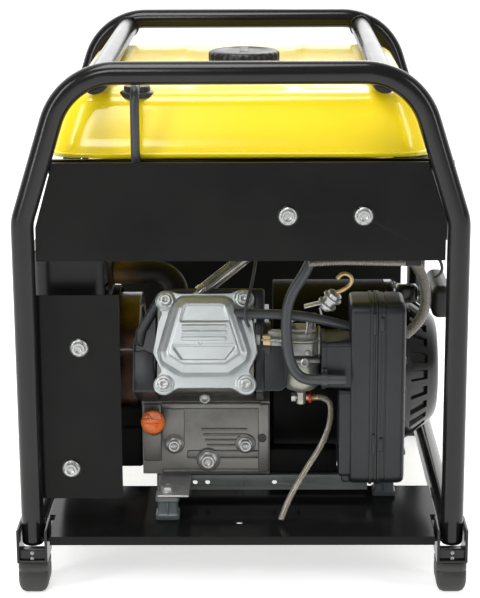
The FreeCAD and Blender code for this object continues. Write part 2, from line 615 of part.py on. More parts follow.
def crank_train():
    """The crankshaft at top dead centre, the camshaft in mesh with it, and the rod and piston above it."""
    mesh_angle = math.degrees(math.atan2(value("cam_dz"), value("cam_dy")))
    middle = "cylinder_x"
    left = rod("left_journal", "x", ("0", "0"), ("crank_left", middle + " - web_in"), "journal_r")
    right = rod("right_journal", "x", ("0", "0"), (middle + " + web_in", "crank_right"), "journal_r")
    webs = [rod("web", "x", ("0", "0"), span, "web_r")
            for span in ((middle + " - web_out", middle + " - web_in"),
                         (middle + " + web_in", middle + " + web_out"))]
    pin = rod("crankpin", "x", ("-throw * cos(engine_lean * 1deg)", "throw * sin(engine_lean * 1deg)"),
              (middle + " - web_out", middle + " + web_out"), "pin_r")
    pinion = gear("crank_pinion", "crank_teeth", mesh_angle)
    node("crankshaft", on_crank(fuse("crankshaft", left, right, *webs, pin, pinion)))

    wheel = gear("cam_wheel", "cam_teeth", mesh_angle + 180 + 180 / value("cam_teeth"))
    shaft = rod("cam_bar", "x", ("0", "0"), ("cam_left", "cam_right"), "cam_r")
    lobes = [rod("lobe", "x", ("0", "lobe_offset"), ("lobe_left", "lobe_left + lobe_wide"), "lobe_r"),
             rod("lobe", "x", ("lobe_offset", "0"), ("lobe_left + lobe_wide",
                                                     "lobe_left + 2 * lobe_wide - 4"),
                 "lobe_r")]
    camshaft = fuse("camshaft", shaft, wheel, *lobes)
    link(camshaft, "Placement.Base.y", "crank_y + cam_dy")
    link(camshaft, "Placement.Base.z", "crank_z + cam_dz")
    node("camshaft", camshaft)

    width = (middle + " - rod_half", middle + " + rod_half")
    small_end = "throw + rod_length"
    ends = fuse("rod_solid", rod("big_end", "x", ("0", "throw"), width, "rod_big_r"),
                rod("small_end", "x", ("0", small_end), width, "rod_small_r"),
                block("shank", width, ("-rod_shank", "rod_shank"), ("throw", small_end)))
    inner = (middle + " - web_out", middle + " + web_out")
    pin_bore = rod("pin_bore", "x", ("0", "throw"), inner, "pin_hole_r")
    wrist_bore = rod("wrist_bore", "x", ("0", small_end), inner, "wrist_hole_r")
    node("connecting_rod", lean(cut("connecting_rod", ends, pin_bore, wrist_bore)))

    node("piston", lean(cut("piston",
                            rod("piston_body", "z", (middle, "0"), ("piston_low", "piston_high"), "piston_r"),
                            rod("piston_inside", "z", (middle, "0"), ("piston_low - 1", "piston_in_top"),
                                "piston_in_r"))))


def head_and_cover():
    block_head = block("head_block", ("barrel_left", "barrel_right"), ("-barrel_half", "barrel_half"),
                       ("head_low", "head_high"))
    intake = rod("intake_port", "x", ("port_side", "port_up"), ("-12", "barrel_right + 1"), "port_r")
    exhaust = rod("exhaust_port", "y", ("pipe_x", "port_up"), ("15", "barrel_half + 1"), "port_r")
    grooves = [block("fin_groove", ("barrel_left - 1", "barrel_right + 1"),
                     ("-barrel_half - 1", "8 - barrel_half"), (low, low + " + 3"))
               for low in ("head_low + 6", "head_low + 13")]
    node("cylinder_head", lean(cut("cylinder_head", block_head, intake, exhaust, *grooves)))

    body = doc.addObject("PartDesign::Body", "cover_casting")
    middle = "cylinder_x"
    flange = [(middle + " - cover_ear_x", "-cover_ear_y"), (middle + " + cover_ear_x", "-cover_ear_y"),
              (middle + " + cover_wide", "-5"), (middle + " + cover_waist", "22"),
              (middle + " + cover_ear_x", "cover_ear_y"), (middle + " - cover_ear_x", "cover_ear_y"),
              (middle + " - cover_waist", "22"), (middle + " - cover_wide", "-5")]
    pad(body, outline(body, "XY_Plane", flange, (), "cover_low"), "cover_flange")
    raised = [(middle + " - body_low_x", "body_low_y"), (middle + " + body_low_x", "body_low_y"),
              (middle + " + body_wide", "body_wide_y"), (middle + " + body_top_x", "body_top_y - 6"),
              (middle + " + body_top_x - 6", "body_top_y"), (middle + " - body_top_x + 6", "body_top_y"),
              (middle + " - body_top_x", "body_top_y - 6"), (middle + " - body_wide", "body_wide_y")]
    base = pad(body, outline(body, "XY_Plane", raised, (), "cover_low"), "cover_high - cover_low")
    doc.recompute()
    edges = ["Edge%d" % (i + 1) for i, edge in enumerate(base.Shape.Edges)
             if edge.BoundBox.ZMin > value("cover_high") - 0.01]
    crown = body.newObject("PartDesign::Fillet", "cover_crown")
    crown.Base = (base, edges)
    link(crown, "Radius", "cover_round")
    ears = [rod("ear", "z", (middle + sign_x + "cover_ear_x", sign_y + "cover_ear_y"),
                ("cover_low", "cover_low + cover_flange"), "cover_ear_r")
            for sign_x in (" - ", " + ") for sign_y in ("-", "")]
    whole = fuse("valve_cover_solid", body, *ears)
    holes = [rod("ear_hole", "z", (middle + sign_x + "cover_ear_x", sign_y + "cover_ear_y"),
                 ("cover_low - 1", "cover_low + cover_flange + 1"), "cover_bolt_r + 0.3")
             for sign_x in (" - ", " + ") for sign_y in ("-", "")]
    node("valve_cover", lean(cut("valve_cover", whole, *holes)))


def engine_bolts():
    seat = "case_front - mount_gap"
    bolts = [front_bolt("case_nut", x, "case_nut_z", seat, "0") for x in ("case_nut_ax", "case_nut_bx")]
    bolts.append(front_bolt("drain_bolt", "drain_bolt_x", "drain_bolt_z", seat, "0"))
    seat = "cover_low + cover_flange"
    for sign_x in (" - ", " + "):
        for sign_y in ("-", ""):
            centre = ("cylinder_x" + sign_x + "cover_ear_x", sign_y + "cover_ear_y")
            bolts.append(lean(fuse("cover_bolt",
                                   rod("cover_bolt_flange", "z", centre, (seat, seat + " + 1.5"),
                                       "cover_head_r"),
                                   hexagon("cover_bolt_hex", "z", centre, (seat, seat + " + 6.5"),
                                           "cover_head_r - 1.3"),
                                   rod("cover_bolt_shank", "z", centre, ("cover_low + 0.2", seat),
                                       "cover_bolt_r"))))
    return bolts


def shroud():
    """The air guide round the cylinder: a box open at its back and underside,
    with a window for the valve cover."""
    outside = block("shroud_outside", ("shroud_left", "shroud_right"), ("shroud_low", "shroud_high"),
                    ("shroud_back", "shroud_front"))
    inside = block("shroud_inside", ("shroud_left + shroud_wall", "shroud_right - shroud_wall"),
                   ("shroud_low - 1", "shroud_high - shroud_wall"), ("shroud_back - 1",
                                                                     "shroud_front - shroud_wall"))
    window = block("shroud_window", ("window_left", "window_right"), ("shroud_low - 1", "window_high"),
                   ("shroud_front - 6", "shroud_front + 1"))
    intake = rod("shroud_intake", "x", ("port_side", "port_up"), ("shroud_right - 6", "shroud_right + 1"),
                 "carb_tube_r + pipe_gap")
    exhaust = rod("shroud_exhaust", "y", ("pipe_x", "port_up"), ("shroud_high - 6", "shroud_high + 1"),
                  "pipe_r + pipe_gap")
    walls = lean(cut("shroud_walls", outside, inside, window, intake, exhaust))
    plug_way = shape_of("plug_way", swept(plug_line(-60, 10), value("plug_cap_r + pipe_gap")))
    node("cylinder_shroud", cut("cylinder_shroud", walls, plug_way))


def dipstick():
    cap = rod("dipstick_cap", "z", ("neck_x", "neck_side"), ("neck_end + 0.4", "neck_end + 12"),
              "neck_r - 0.3")
    stem = rod("dipstick_stem", "z", ("neck_x", "neck_side"), ("neck_reach + 4", "neck_end + 1"),
               "neck_hole_r - 0.3")
    blade = block("dipstick_blade", ("neck_x - 2", "neck_x + 2"), ("neck_side - 1", "neck_side + 1"),
                  ("neck_reach - 24", "neck_reach + 5"))
    bar = block("dipstick_bar", ("neck_x - 10", "neck_x + 10"), ("neck_side - 2", "neck_side + 2"),
                ("neck_end + 6", "neck_end + 15"))
    node("oil_dipstick", lean(fuse("oil_dipstick", cap, stem, blade, bar)))


# ---------------------------------------------------------------- blower, flywheel and recoil starter

def starter_side():
    centre = ("0", "0")
    drum = rod("blower_drum", "x", centre, ("blower_left", "blower_right"), "blower_r")
    inside = rod("blower_inside", "x", centre, ("blower_left + blower_wall", "blower_right + 1"),
                 "blower_r - blower_wall")
    shaft_way = rod("blower_hole", "x", centre, ("blower_left - 1", "blower_left + 6"), "blower_hole_r")
    node("blower_housing", on_crank(cut("blower_housing", drum, inside, shaft_way)))

    plate = rod("wheel_plate", "x", centre, ("wheel_left", "wheel_plate"), "wheel_r")
    hub = rod("wheel_hub", "x", centre, ("wheel_left", "wheel_right"), "wheel_hub_r")
    cup = cut("starter_cup", rod("cup_outside", "x", centre, ("wheel_plate - 1", "cup_right"), "cup_r"),
              rod("cup_inside", "x", centre, ("wheel_plate - 2", "cup_right + 1"), "cup_in_r"))
    vanes = []
    for index in range(int(value("vane_count"))):
        vane = block("vane", ("wheel_plate - 1", "wheel_right"), ("vane_in", "wheel_r - 1"),
                     ("-vane_thick / 2", "vane_thick / 2"))
        arm = doc.addObject("Part::Compound", "vane_arm")
        arm.Links = [vane]
        arm.Placement = Placement(Vector(), Rotation(Vector(1, 0, 0), 360 * index / value("vane_count")))
        vanes.append(arm)
    shaft = rod("wheel_bore", "x", centre, ("wheel_left - 1", "cup_right + 1"), "journal_hole_r")
    node("flywheel", on_crank(cut("flywheel", fuse("wheel_solid", plate, hub, cup, *vanes), shaft)))

    start = "blower_right + recoil_gap"
    dome = turned("recoil_dome", [(start, "blower_r - recoil_wall"), (start, "blower_r"),
                                  ("recoil_rim", "blower_r"),
                                  ("recoil_mid", "recoil_mid_r"), ("recoil_edge", "recoil_edge_r"),
                                  ("recoil_face", "recoil_face_r"), ("recoil_face", "0"),
                                  ("recoil_face - recoil_wall", "0"),
                                  ("recoil_face - recoil_wall", "recoil_face_r - 1.5"),
                                  ("recoil_edge - 1.8", "recoil_edge_r - 2"), ("recoil_mid - 1.5",
                                                                               "recoil_mid_r - 2.3"),
                                  ("recoil_rim - 1", "blower_r - recoil_wall")])
    post = rod("pulley_post", "x", centre, ("post_left", "recoil_face - 1"), "post_r")
    guide = block("rope_guide", (start, "guide_right"),
                  ("guide_y - crank_y - guide_half", "guide_y - crank_y + guide_half"),
                  ("guide_z - crank_z - 18", "guide_z - crank_z + guide_half"))
    way = rod("rope_way", "x", ("guide_y - crank_y", "guide_z - crank_z"),
              (start + " - 1", "guide_right + 1"),
              "guide_hole_r")
    keep_clear = rod("recoil_inside", "x", centre, (start + " - 1", "recoil_rim"), "blower_r - recoil_wall")
    node("recoil_cover", on_crank(cut("recoil_cover", fuse("recoil_solid", dome, post, guide), way,
                                      keep_clear)))

    node("starter_pulley", on_crank(turned("starter_pulley", [
        ("pulley_left", "post_hole_r"), ("pulley_left", "pulley_r"), ("pulley_left + 3", "pulley_r"),
        ("pulley_left + 5", "pulley_groove_r"), ("pulley_right - 5", "pulley_groove_r"),
        ("pulley_right - 3", "pulley_r"), ("pulley_right", "pulley_r"), ("pulley_right", "post_hole_r")])))

    node("starter_rope", rod("starter_rope", "x", ("guide_y", "guide_z"), ("rope_left", "rope_right"),
                             "rope_r"))
    bar = rounded("grip_bar", block("grip_block", ("rope_right + 0.2", "grip_right"),
                                    ("guide_y - grip_half_y", "guide_y + grip_half_y"),
                                    ("guide_z - grip_half_z", "guide_z + grip_half_z")),
                  "grip_round", lambda edge: True)
    node("starter_grip", bar)


# ---------------------------------------------------------------- exhaust

def exhaust():
    start = leant_point("pipe_x", "pipe_side", "port_up")
    corner = leant_point("pipe_x", "pipe_side + pipe_run", "port_up")
    end = Vector(value("pipe_end_x"), corner.y, corner.z)
    path = bent_line([start, corner, end], [value("pipe_bend")])
    pipe = swept(path, value("pipe_r")).cut(swept(path, value("pipe_hole_r")))
    node("exhaust_pipe", shape_of("exhaust_pipe", pipe))

    outside = rounded("muffler_outside", block("muffler_block", ("muffler_left", "muffler_right"),
                                               ("muffler_front", "muffler_rear"), ("muffler_low",
                                                                                   "muffler_high")),
                      "muffler_round", upright)
    rims = [rounded("muffler_rim", block("muffler_rim_block",
                                         ("muffler_left - muffler_rim", "muffler_right + muffler_rim - 1.6"),
                                         ("muffler_front - muffler_rim", "muffler_rear + muffler_rim"),
                                         (low, low + " + 3")), "muffler_round", upright)
            for low in ("muffler_low", "muffler_high - 3")]
    inside = block("muffler_inside", ("muffler_left + 8", "muffler_right - muffler_wall"),
                   ("muffler_front + 8", "muffler_rear - muffler_wall"),
                   ("muffler_low + muffler_wall", "muffler_high - muffler_wall"))
    inlet = rod("muffler_inlet", "x", (str(corner.y), str(corner.z)), ("muffler_right - 3",
                                                                       "muffler_right + 3"),
                "pipe_hole_r")
    tail = rod("tail_pipe", "y", ("tail_x", "tail_z"), ("muffler_rear - 1", "tail_end"), "tail_r")
    outlet = rod("tail_way", "y", ("tail_x", "tail_z"), ("muffler_rear - 3", "tail_end + 1"), "tail_hole_r")
    node("muffler", cut("muffler", fuse("muffler_solid", outside, *rims, tail), inside, inlet, outlet))


# ---------------------------------------------------------------- fuel and air

def spindle_lever(name, x, sign):
    """A lever on an upright spindle in the carburettor's top."""
    stem = rod(name + "_stem", "z", (x, "carb_y"), ("spindle_low + 0.5", "lever_z"), "spindle_r")
    hub = rod(name + "_hub", "z", (x, "carb_y"), ("lever_z - 4", "lever_z + lever_thick"), "lever_hub_r")
    arm = block(name + "_arm", (x + " - 4", x + " + 4"), ("carb_y - lever_reach", "carb_y"),
                ("lever_z" + sign, "lever_z + lever_thick" + sign))
    return fuse(name, stem, hub, arm)


def carburettor():
    axis = ("carb_y", "carb_z")
    tube = rod("carb_tube", "x", axis, ("carb_left", "carb_right"), "carb_tube_r")
    body = block("carb_body", ("carb_body_left", "carb_body_right"),
                 ("carb_y - carb_body_half", "carb_y + carb_body_half"), ("carb_body_low", "carb_body_high"))
    flange = block("carb_flange", ("carb_flange - 4", "carb_flange"), ("carb_y - 24", "carb_y + 20"),
                   ("carb_z - 15", "carb_z + 15"))
    throat = rod("carb_throat", "x", axis, ("carb_left - 1", "carb_right + 1"), "port_r")
    spindle_ways = [rod("spindle_way", "z", (x, "carb_y"), ("spindle_low", "carb_body_high + 1"),
                        "spindle_hole_r")
                    for x in ("throttle_x", "choke_x")]
    node("carburettor", cut("carburettor", fuse("carb_solid", tube, body, flange), throat, *spindle_ways))
    node("throttle_lever", spindle_lever("throttle_lever", "throttle_x", ""))
    node("choke_lever", spindle_lever("choke_lever", "choke_x", ""))

    bowl = rod("bowl_outside", "z", ("bowl_x", "carb_y"), ("bowl_low", "bowl_high"), "bowl_r")
    cup = rod("bowl_inside", "z", ("bowl_x", "carb_y"), ("bowl_low + bowl_wall", "bowl_high + 1"),
              "bowl_r - bowl_wall")
    stub = rod("bowl_stub", "z", ("bowl_x", "carb_y"), ("stub_low", "bowl_low + 1"), "stub_r")
    screw_way = rod("screw_way", "x", ("carb_y", "drain_z"), ("bowl_x - 9", "screw_tip + 1"), "screw_hole_r")
    bowl_case = cut("bowl_case", fuse("bowl_solid", cut("bowl_cup", bowl, cup), stub), screw_way)
    nipple = fuse("drain_nipple",
                  rod("nipple_collar", "x", ("carb_y", "drain_z"), ("nipple_left", "nipple_left + 3"),
                      "nipple_collar"),
                  rod("nipple_stem", "x", ("carb_y", "drain_z"), ("nipple_left", "nipple_right"), "nipple_r"))
    node("float_bowl", group("float_bowl", bowl_case, nipple))
    node("drain_screw", fuse("drain_screw",
                             hexagon("screw_head", "x", ("carb_y", "drain_z"),
                                     ("screw_left", "screw_left + 4.5"),
                                     "screw_hex"),
                             rod("screw_shank", "x", ("carb_y", "drain_z"), ("screw_left", "screw_tip"),
                                 "screw_shank_r")))


def air_box():
    deep = ("box_front", "box_rear")
    tall = ("box_low", "box_high")
    sideways = runs_along(Vector(1, 0, 0))
    case = rounded("box_case", block("box_case_block", ("box_left", "box_seam"), deep, tall), "box_round",
                   sideways)
    inset_deep = ("box_front + duct_inset", "box_rear - duct_inset")
    duct = block("box_duct", ("duct_left", "box_left"), inset_deep, ("duct_low", "duct_high"))
    taper = block("box_taper", ("taper_left", "box_left + 1"), inset_deep, ("taper_low", "duct_low"))
    hollow = rounded("box_hollow", block("box_hollow_block", ("box_left + box_wall", "box_seam + 1"),
                                         ("box_front + box_wall", "box_rear - box_wall"),
                                         ("box_low + box_wall",
                                          "box_high - box_wall")), "box_round - 3", sideways)
    duct_way = rod("duct_way", "x", ("carb_y", "carb_z"), ("duct_left - 1", "box_left + 4"), "duct_hole_r")
    node("intake_duct", cut("intake_duct", duct, duct_way))
    box_way = rod("box_way", "x", ("carb_y", "carb_z"), ("duct_left - 1", "box_left + 4"), "duct_hole_r")
    node("air_box_base", cut("air_box_base", fuse("box_solid", case, taper), hollow, box_way))

    lid = rounded("lid_case", block("lid_block", ("box_seam + box_gap", "box_right"), deep, tall),
                  "box_round", sideways)
    lid_hollow = rounded("lid_hollow", block("lid_hollow_block", ("box_seam", "box_right - box_wall"),
                                             ("box_front + box_wall", "box_rear - box_wall"),
                                             ("box_low + box_wall",
                                              "box_high - box_wall")), "box_round - 3", sideways)
    node("air_box_cover", cut("air_box_cover", lid, lid_hollow))
    node("air_filter", block("air_filter", ("filter_left", "filter_right"),
                             ("box_front + filter_inset", "box_rear - filter_inset"),
                             ("box_low + filter_inset", "box_high - filter_inset")))


# ---------------------------------------------------------------- alternator and inverter

def ring(name, span, outer, inner):
    return cut(name, rod(name + "_outside", "x", ("0", "0"), span, outer),
               rod(name + "_inside", "x", ("0", "0"), (span[0] + " - 1", span[1] + " + 1"), inner))


def alternator():
    shell = cut("alternator_shell", rod("alternator_can", "x", ("0", "0"), ("alt_left", "alt_right"),
                                        "alt_r"),
                rod("alternator_room", "x", ("0", "0"), ("alt_left + alt_end", "alt_right + 1"), "alt_in_r"))
    slots = []
    for index in range(int(value("slot_count"))):
        slot = block("cooling_slot", ("alt_left - 1", "alt_left + alt_end + 1"),
                     ("journal_r + 16", "alt_in_r - 16"),
                     ("-slot_wide / 2", "slot_wide / 2"))
        arm = doc.addObject("Part::Compound", "slot_arm")
        arm.Links = [slot]
        arm.Placement = Placement(Vector(), Rotation(Vector(1, 0, 0), 360 * index / value("slot_count")))
        slots.append(arm)
    node("alternator_housing", on_crank(cut("alternator_housing", shell, *slots)))
    node("stator_core", on_crank(ring("stator_core", ("core_left", "core_right"), "core_r", "core_in_r")))
    node("stator_windings", on_crank(ring("stator_windings", ("coil_left + 0.2", "coil_right"), "coil_r",
                                          "coil_in_r")))
    node("rotor", on_crank(ring("rotor", ("rotor_left", "rotor_right"), "rotor_r", "journal_hole_r")))


def inverter():
    base = block("inverter_base", ("inv_left", "inv_right"), ("inv_front", "inv_plate"),
                 ("inv_low", "inv_high"))
    count = int(value("fin_count"))
    pitch = (value("inv_right - inv_left") - value("fin_thick")) / (count - 1)
    fins = [block("fin", ("inv_left + %.3f" % (index * pitch),
                          "inv_left + fin_thick + %.3f" % (index * pitch)),
                  ("inv_plate - 1", "inv_rear"), ("inv_low", "inv_high")) for index in range(count)]
    cable_slot = block("cable_slot", ("inv_slot_x - inv_slot_half", "inv_slot_x + inv_slot_half"),
                       ("inv_front - 1", "inv_rear + 1"), ("inv_slot_z", "inv_slot_z + inv_slot_half"))
    node("inverter_module", cut("inverter_module", fuse("inverter_solid", base, *fins), cable_slot))


# ---------------------------------------------------------------- control panel

def control_panel():
    shell = rounded("panel_shell", block("panel_block", ("-panel_deep", "0"), ("-panel_half", "panel_half"),
                                         ("0", "panel_high")), "panel_round", runs_along(Vector(1, 0, 0)))
    room = block("panel_room", ("-panel_deep - 1", "-panel_wall"),
                 ("panel_wall - panel_half", "panel_half - panel_wall"), ("panel_wall",
                                                                          "panel_high - panel_wall"))
    through = ("-panel_wall - 1", "1")
    openings = [block("outlet_cut", through, (y + " - outlet_wide / 2 - cut_gap",
                                              y + " + outlet_wide / 2 + cut_gap"),
                      ("outlet_low - cut_gap", "outlet_low + outlet_tall + cut_gap"))
                for y in ("outlet_a", "outlet_b")]
    openings.append(rod("round_cut", "x", ("round_y", "round_z"), through, "round_r + cut_gap"))
    openings.append(block("switch_cut", through,
                          ("switch_y - switch_wide / 2 - cut_gap", "switch_y + switch_wide / 2 + cut_gap"),
                          ("switch_z - switch_tall / 2 - cut_gap", "switch_z + switch_tall / 2 + cut_gap")))
    openings.append(rod("knob_cut", "x", ("knob_y", "knob_z"), through, "knob_stem_hole_r"))
    openings.append(rod("button_cut", "x", ("button_y", "button_z"), through, "button_hole_r"))
    node("control_panel", on_panel(cut("control_panel", shell, room, *openings)))

    sockets = []
    for y in ("outlet_a", "outlet_b"):
        face = block("outlet_face", ("-part_deep", "outlet_proud"), (y + " - outlet_wide / 2",
                                                                     y + " + outlet_wide / 2"),
                     ("outlet_low", "outlet_low + outlet_tall"))
        slots = []
        for middle in ("outlet_low + outlet_tall / 4", "outlet_low + 3 * outlet_tall / 4"):
            for side in (" - 7.5", " + 5.5"):
                slots.append(block("blade_slot", ("-12", "outlet_proud + 1"), (y + side, y + side + " + 2"),
                                   (middle + " - 1", middle + " + 7")))
            slots.append(rod("earth_slot", "x", (y, middle + " - 8"), ("-12", "outlet_proud + 1"), "2.4"))
        sockets.append(on_panel(cut("duplex_outlet", face, *slots)))
    drum = rod("round_face", "x", ("round_y", "round_z"), ("-part_deep", "outlet_proud + 1"), "round_r")
    arcs = [block("lock_slot", ("-12", "outlet_proud + 2"), (y + " - 1.2", y + " + 1.2"),
                  (z + " - 5", z + " + 5"))
            for y, z in (("round_y - 11", "round_z"), ("round_y + 11", "round_z"),
                         ("round_y", "round_z + 11"))]
    sockets.append(on_panel(cut("round_outlet", drum, *arcs)))
    node("outlets", group("outlets", *sockets))

    tall = "(switch_tall / 2 - 2)"
    rocker = padded("rocker", "XZ_Plane", [("-6", "4 - " + tall), ("4", "-" + tall),
                                           ("rocker_deep + switch_proud", "-" + tall),
                                           ("rocker_deep", "0"), ("rocker_deep + switch_proud", tall), ("4",
                                                                                                        tall),
                                           ("-6", tall + " - 4")], ("-switch_wide / 2", "switch_wide / 2"))
    rocker.Placement = Placement(Vector(), Rotation(Vector(0, 1, 0), DIMENSIONS["rocker_tilt"]))
    link(rocker, "Placement.Rotation.Angle", "rocker_tilt")
    link(rocker, "Placement.Base.x", "-rocker_deep")
    link(rocker, "Placement.Base.y", "switch_y")
    link(rocker, "Placement.Base.z", "switch_z")
    node("run_switch", on_panel(group("run_switch_seat", rocker)))
    grip = rod("knob_disc", "x", ("knob_y", "knob_z"), ("cut_gap", "knob_plate"), "knob_r")
    stem = rod("knob_stem", "x", ("knob_y", "knob_z"), ("-part_deep", "1"), "knob_stem_r")
    bar = block("knob_bar", ("1", "knob_proud"), ("knob_y - 5", "knob_y + 5"),
                ("knob_z - knob_r + 1.5", "knob_z + knob_r - 1.5"))
    node("engine_knob", on_panel(fuse("engine_knob", grip, stem, bar)))
    node("breaker_button", on_panel(rod("button_bar", "x", ("button_y", "button_z"),
                                        ("-part_deep", "button_proud"), "button_r")))


# ---------------------------------------------------------------- tank, cap and canister

def rectangle(x, y):
    return [("-" + x, "-" + y), (x, "-" + y), (x, y), ("-" + x, y)]


def tank_skin(name, shrink):
    """The tank's outer form, or with a shrink its inner one: a tub under a shell with sloping sides."""
    body = doc.addObject("PartDesign::Body", name)
    base = outline(body, "XY_Plane", rectangle("(tank_x - %s)" % shrink, "(tank_y - %s)" % shrink), (),
                   "tank_seam - 2")
    shell = pad(body, base, "tank_top - tank_seam + 2 - " + shrink)
    link(shell, "TaperAngle", "-tank_taper")
    doc.recompute()
    corners = body.newObject("PartDesign::Fillet", name + "_corners")
    corners.Base = (shell, ["Edge%d" % (i + 1) for i, edge in enumerate(shell.Shape.Edges)
                            if edge.BoundBox.ZLength > 10])
    link(corners, "Radius", "tank_round - " + shrink)
    doc.recompute()
    crown = body.newObject("PartDesign::Fillet", name + "_crown")
    crown.Base = (corners, ["Edge%d" % (i + 1) for i, edge in enumerate(corners.Shape.Edges)
                            if edge.BoundBox.ZMin > value("tank_top - " + shrink) - 1])
    link(crown, "Radius", "tank_top_round - " + shrink)
    tub = rounded(name + "_tub", block(name + "_tub_block", ("%s - tub_x" % shrink, "tub_x - " + shrink),
                                       ("%s - tub_y" % shrink, "tub_y - " + shrink),
                                       ("tub_low + " + shrink,
                                        "tank_seam")), "tank_round - " + shrink, upright)
    return body, tub


def tank():
    upper, tub = tank_skin("tank_outer", "0")
    seam = rounded("tank_seam", block("seam_block", ("-seam_x", "seam_x"), ("-seam_y", "seam_y"),
                                      ("seam_low", "tank_seam")), "tank_round", upright)
    neck = rod("tank_neck", "z", ("fuel_neck_x", "0"), ("tank_top - 3", "neck_top"), "neck_out_r")
    valve = rod("rollover_valve", "z", ("valve_x", "valve_y"), ("tank_top - 14", "valve_top"), "valve_r")
    inner, inner_tub = tank_skin("tank_inner", "tank_wall")
    neck_way = rod("neck_way", "z", ("fuel_neck_x", "0"), ("tank_top - 12", "neck_top + 1"), "neck_in_r")
    node("fuel_tank", cut("fuel_tank", fuse("tank_solid", upper, tub, seam, neck, valve), inner, inner_tub,
                          neck_way))
    lid = rod("cap_outside", "z", ("fuel_neck_x", "0"), ("cap_low", "cap_top"), "cap_r")
    room = rod("cap_inside", "z", ("fuel_neck_x", "0"), ("cap_low - 1", "cap_in_top"), "cap_in_r")
    node("fuel_cap", cut("fuel_cap", lid, room))
    node("charcoal_canister", rounded("charcoal_canister", block("canister_block", ("can_left", "can_right"),
                                                                  ("can_front + bolt_reach", "can_rear"),
                                                                  ("can_low", "can_high")),
                                      "can_round", runs_along(Vector(1, 0, 0))))


# ---------------------------------------------------------------- hoses and leads

def hoses():
    breather = [(-8, -192, 272), (22, -191, 271), (52, -190.5, 270), (82, -188, 264), (107.6, -184, 256)]
    node("breather_hose", shape_of("breather_hose", hose_shape(breather, value("breather_r"))))
    purge = [(74, -208, 343.6), (68, -209, 322), (51, -211, 293), (49, -213.5, 262), (53, -216, 232),
             (66, -218.5, 214), (84, -219, 211), (103, -219, 211)]
    vent = [(-100, -201, 500), (-100, -218, 502), (-100, -226.5, 488), (-100, -227, 460), (-100, -226.5, 431),
            (-96, -222, 404), (-78, -217, 384), (-48, -214, 374), (-10, -213, 371), (27.6, -212, 371)]
    node("vapour_hoses", group("vapour_hoses", shape_of("purge_hose", hose_shape(purge, value("hose_r"))),
                               shape_of("vent_hose", hose_shape(vent, value("vent_r")))))
    drain = [(77.1, -168, 177), (84.2, -168.2, 176.3), (89.6, -169, 171.2), (90.6, -171, 162),
             (88.6, -175, 148),
             (80, -182, 129), (66, -191.5, 110), (53, -201, 91), (44, -209, 75), (39, -215.5, 62.5)]
    node("drain_tube", shape_of("drain_tube", hose_shape(drain, value("drain_r"))))
    sill = [(66, -226, 331), (92, -222.5, 332), (120, -221, 331), (148, -219, 330), (172, -208, 327)]
    drop = [(171, -150, 318), (181, -146, 304), (187, -144, 285), (187, -143, 263), (179, -143, 246),
            (166, -146, 236)]
    node("wiring_looms", group("wiring_looms", shape_of("sill_loom", hose_shape(sill, value("loom_r - 1"))),
                               shape_of("drop_loom", hose_shape(drop, value("loom_r")))))


def plug_line(start, end):
    """A stretch of the spark plug's axis, measured in mm from where the cap begins."""
    mouth = Vector(-24, -158, 299)
    heading = Vector(39, 10, 29).normalize()
    return Part.Wire([Part.LineSegment(mouth + heading * start, mouth + heading * end).toShape()])


def spark_plug():
    node("spark_plug", shape_of("spark_plug", swept(plug_line(-44, -value("mount_gap")), value("plug_r"))))
    node("spark_plug_cap", shape_of("spark_plug_cap", swept(plug_line(0, 49), value("plug_cap_r"))))


def build():
    frame_tubes()
    feet()
    trays()
    plates()
    subframe()
    rubber_mounts()
    crankcase()
    crank_train()
    head_and_cover()
    node("bolts", group("bolts", *frame_bolts(), *engine_bolts()))
    shroud()
    dipstick()
    starter_side()
    exhaust()
    carburettor()
    air_box()
    alternator()
    inverter()
    control_panel()
    tank()
    hoses()
    spark_plug()
    doc.recompute()


def check_and_write():
    for thing in doc.Objects:
        if "Invalid" in thing.State or "Error" in thing.State:
            raise RuntimeError("%s failed: %s" % (thing.Name, thing.State))
    os.makedirs("parts", exist_ok=True)
    for thing in NODES:
        shape = thing.Shape
        if shape.isNull() or not shape.isValid():
            raise RuntimeError("%s has no valid shape" % thing.Label)
        if not shape.Solids:
            raise RuntimeError("%s holds no solid" % thing.Label)
        print("%-20s solids %d volume %.1f cm3" % (thing.Label, len(shape.Solids), shape.Volume / 1000))
        shape.exportStep("parts/%s.step" % thing.Label)
    print(len(NODES), "nodes")


build()
check_and_write()
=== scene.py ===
"""The looks of the open-frame portable generator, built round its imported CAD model."""

import functools
import json
import math
import random

import bmesh
import bpy
from mathutils import Matrix, Vector

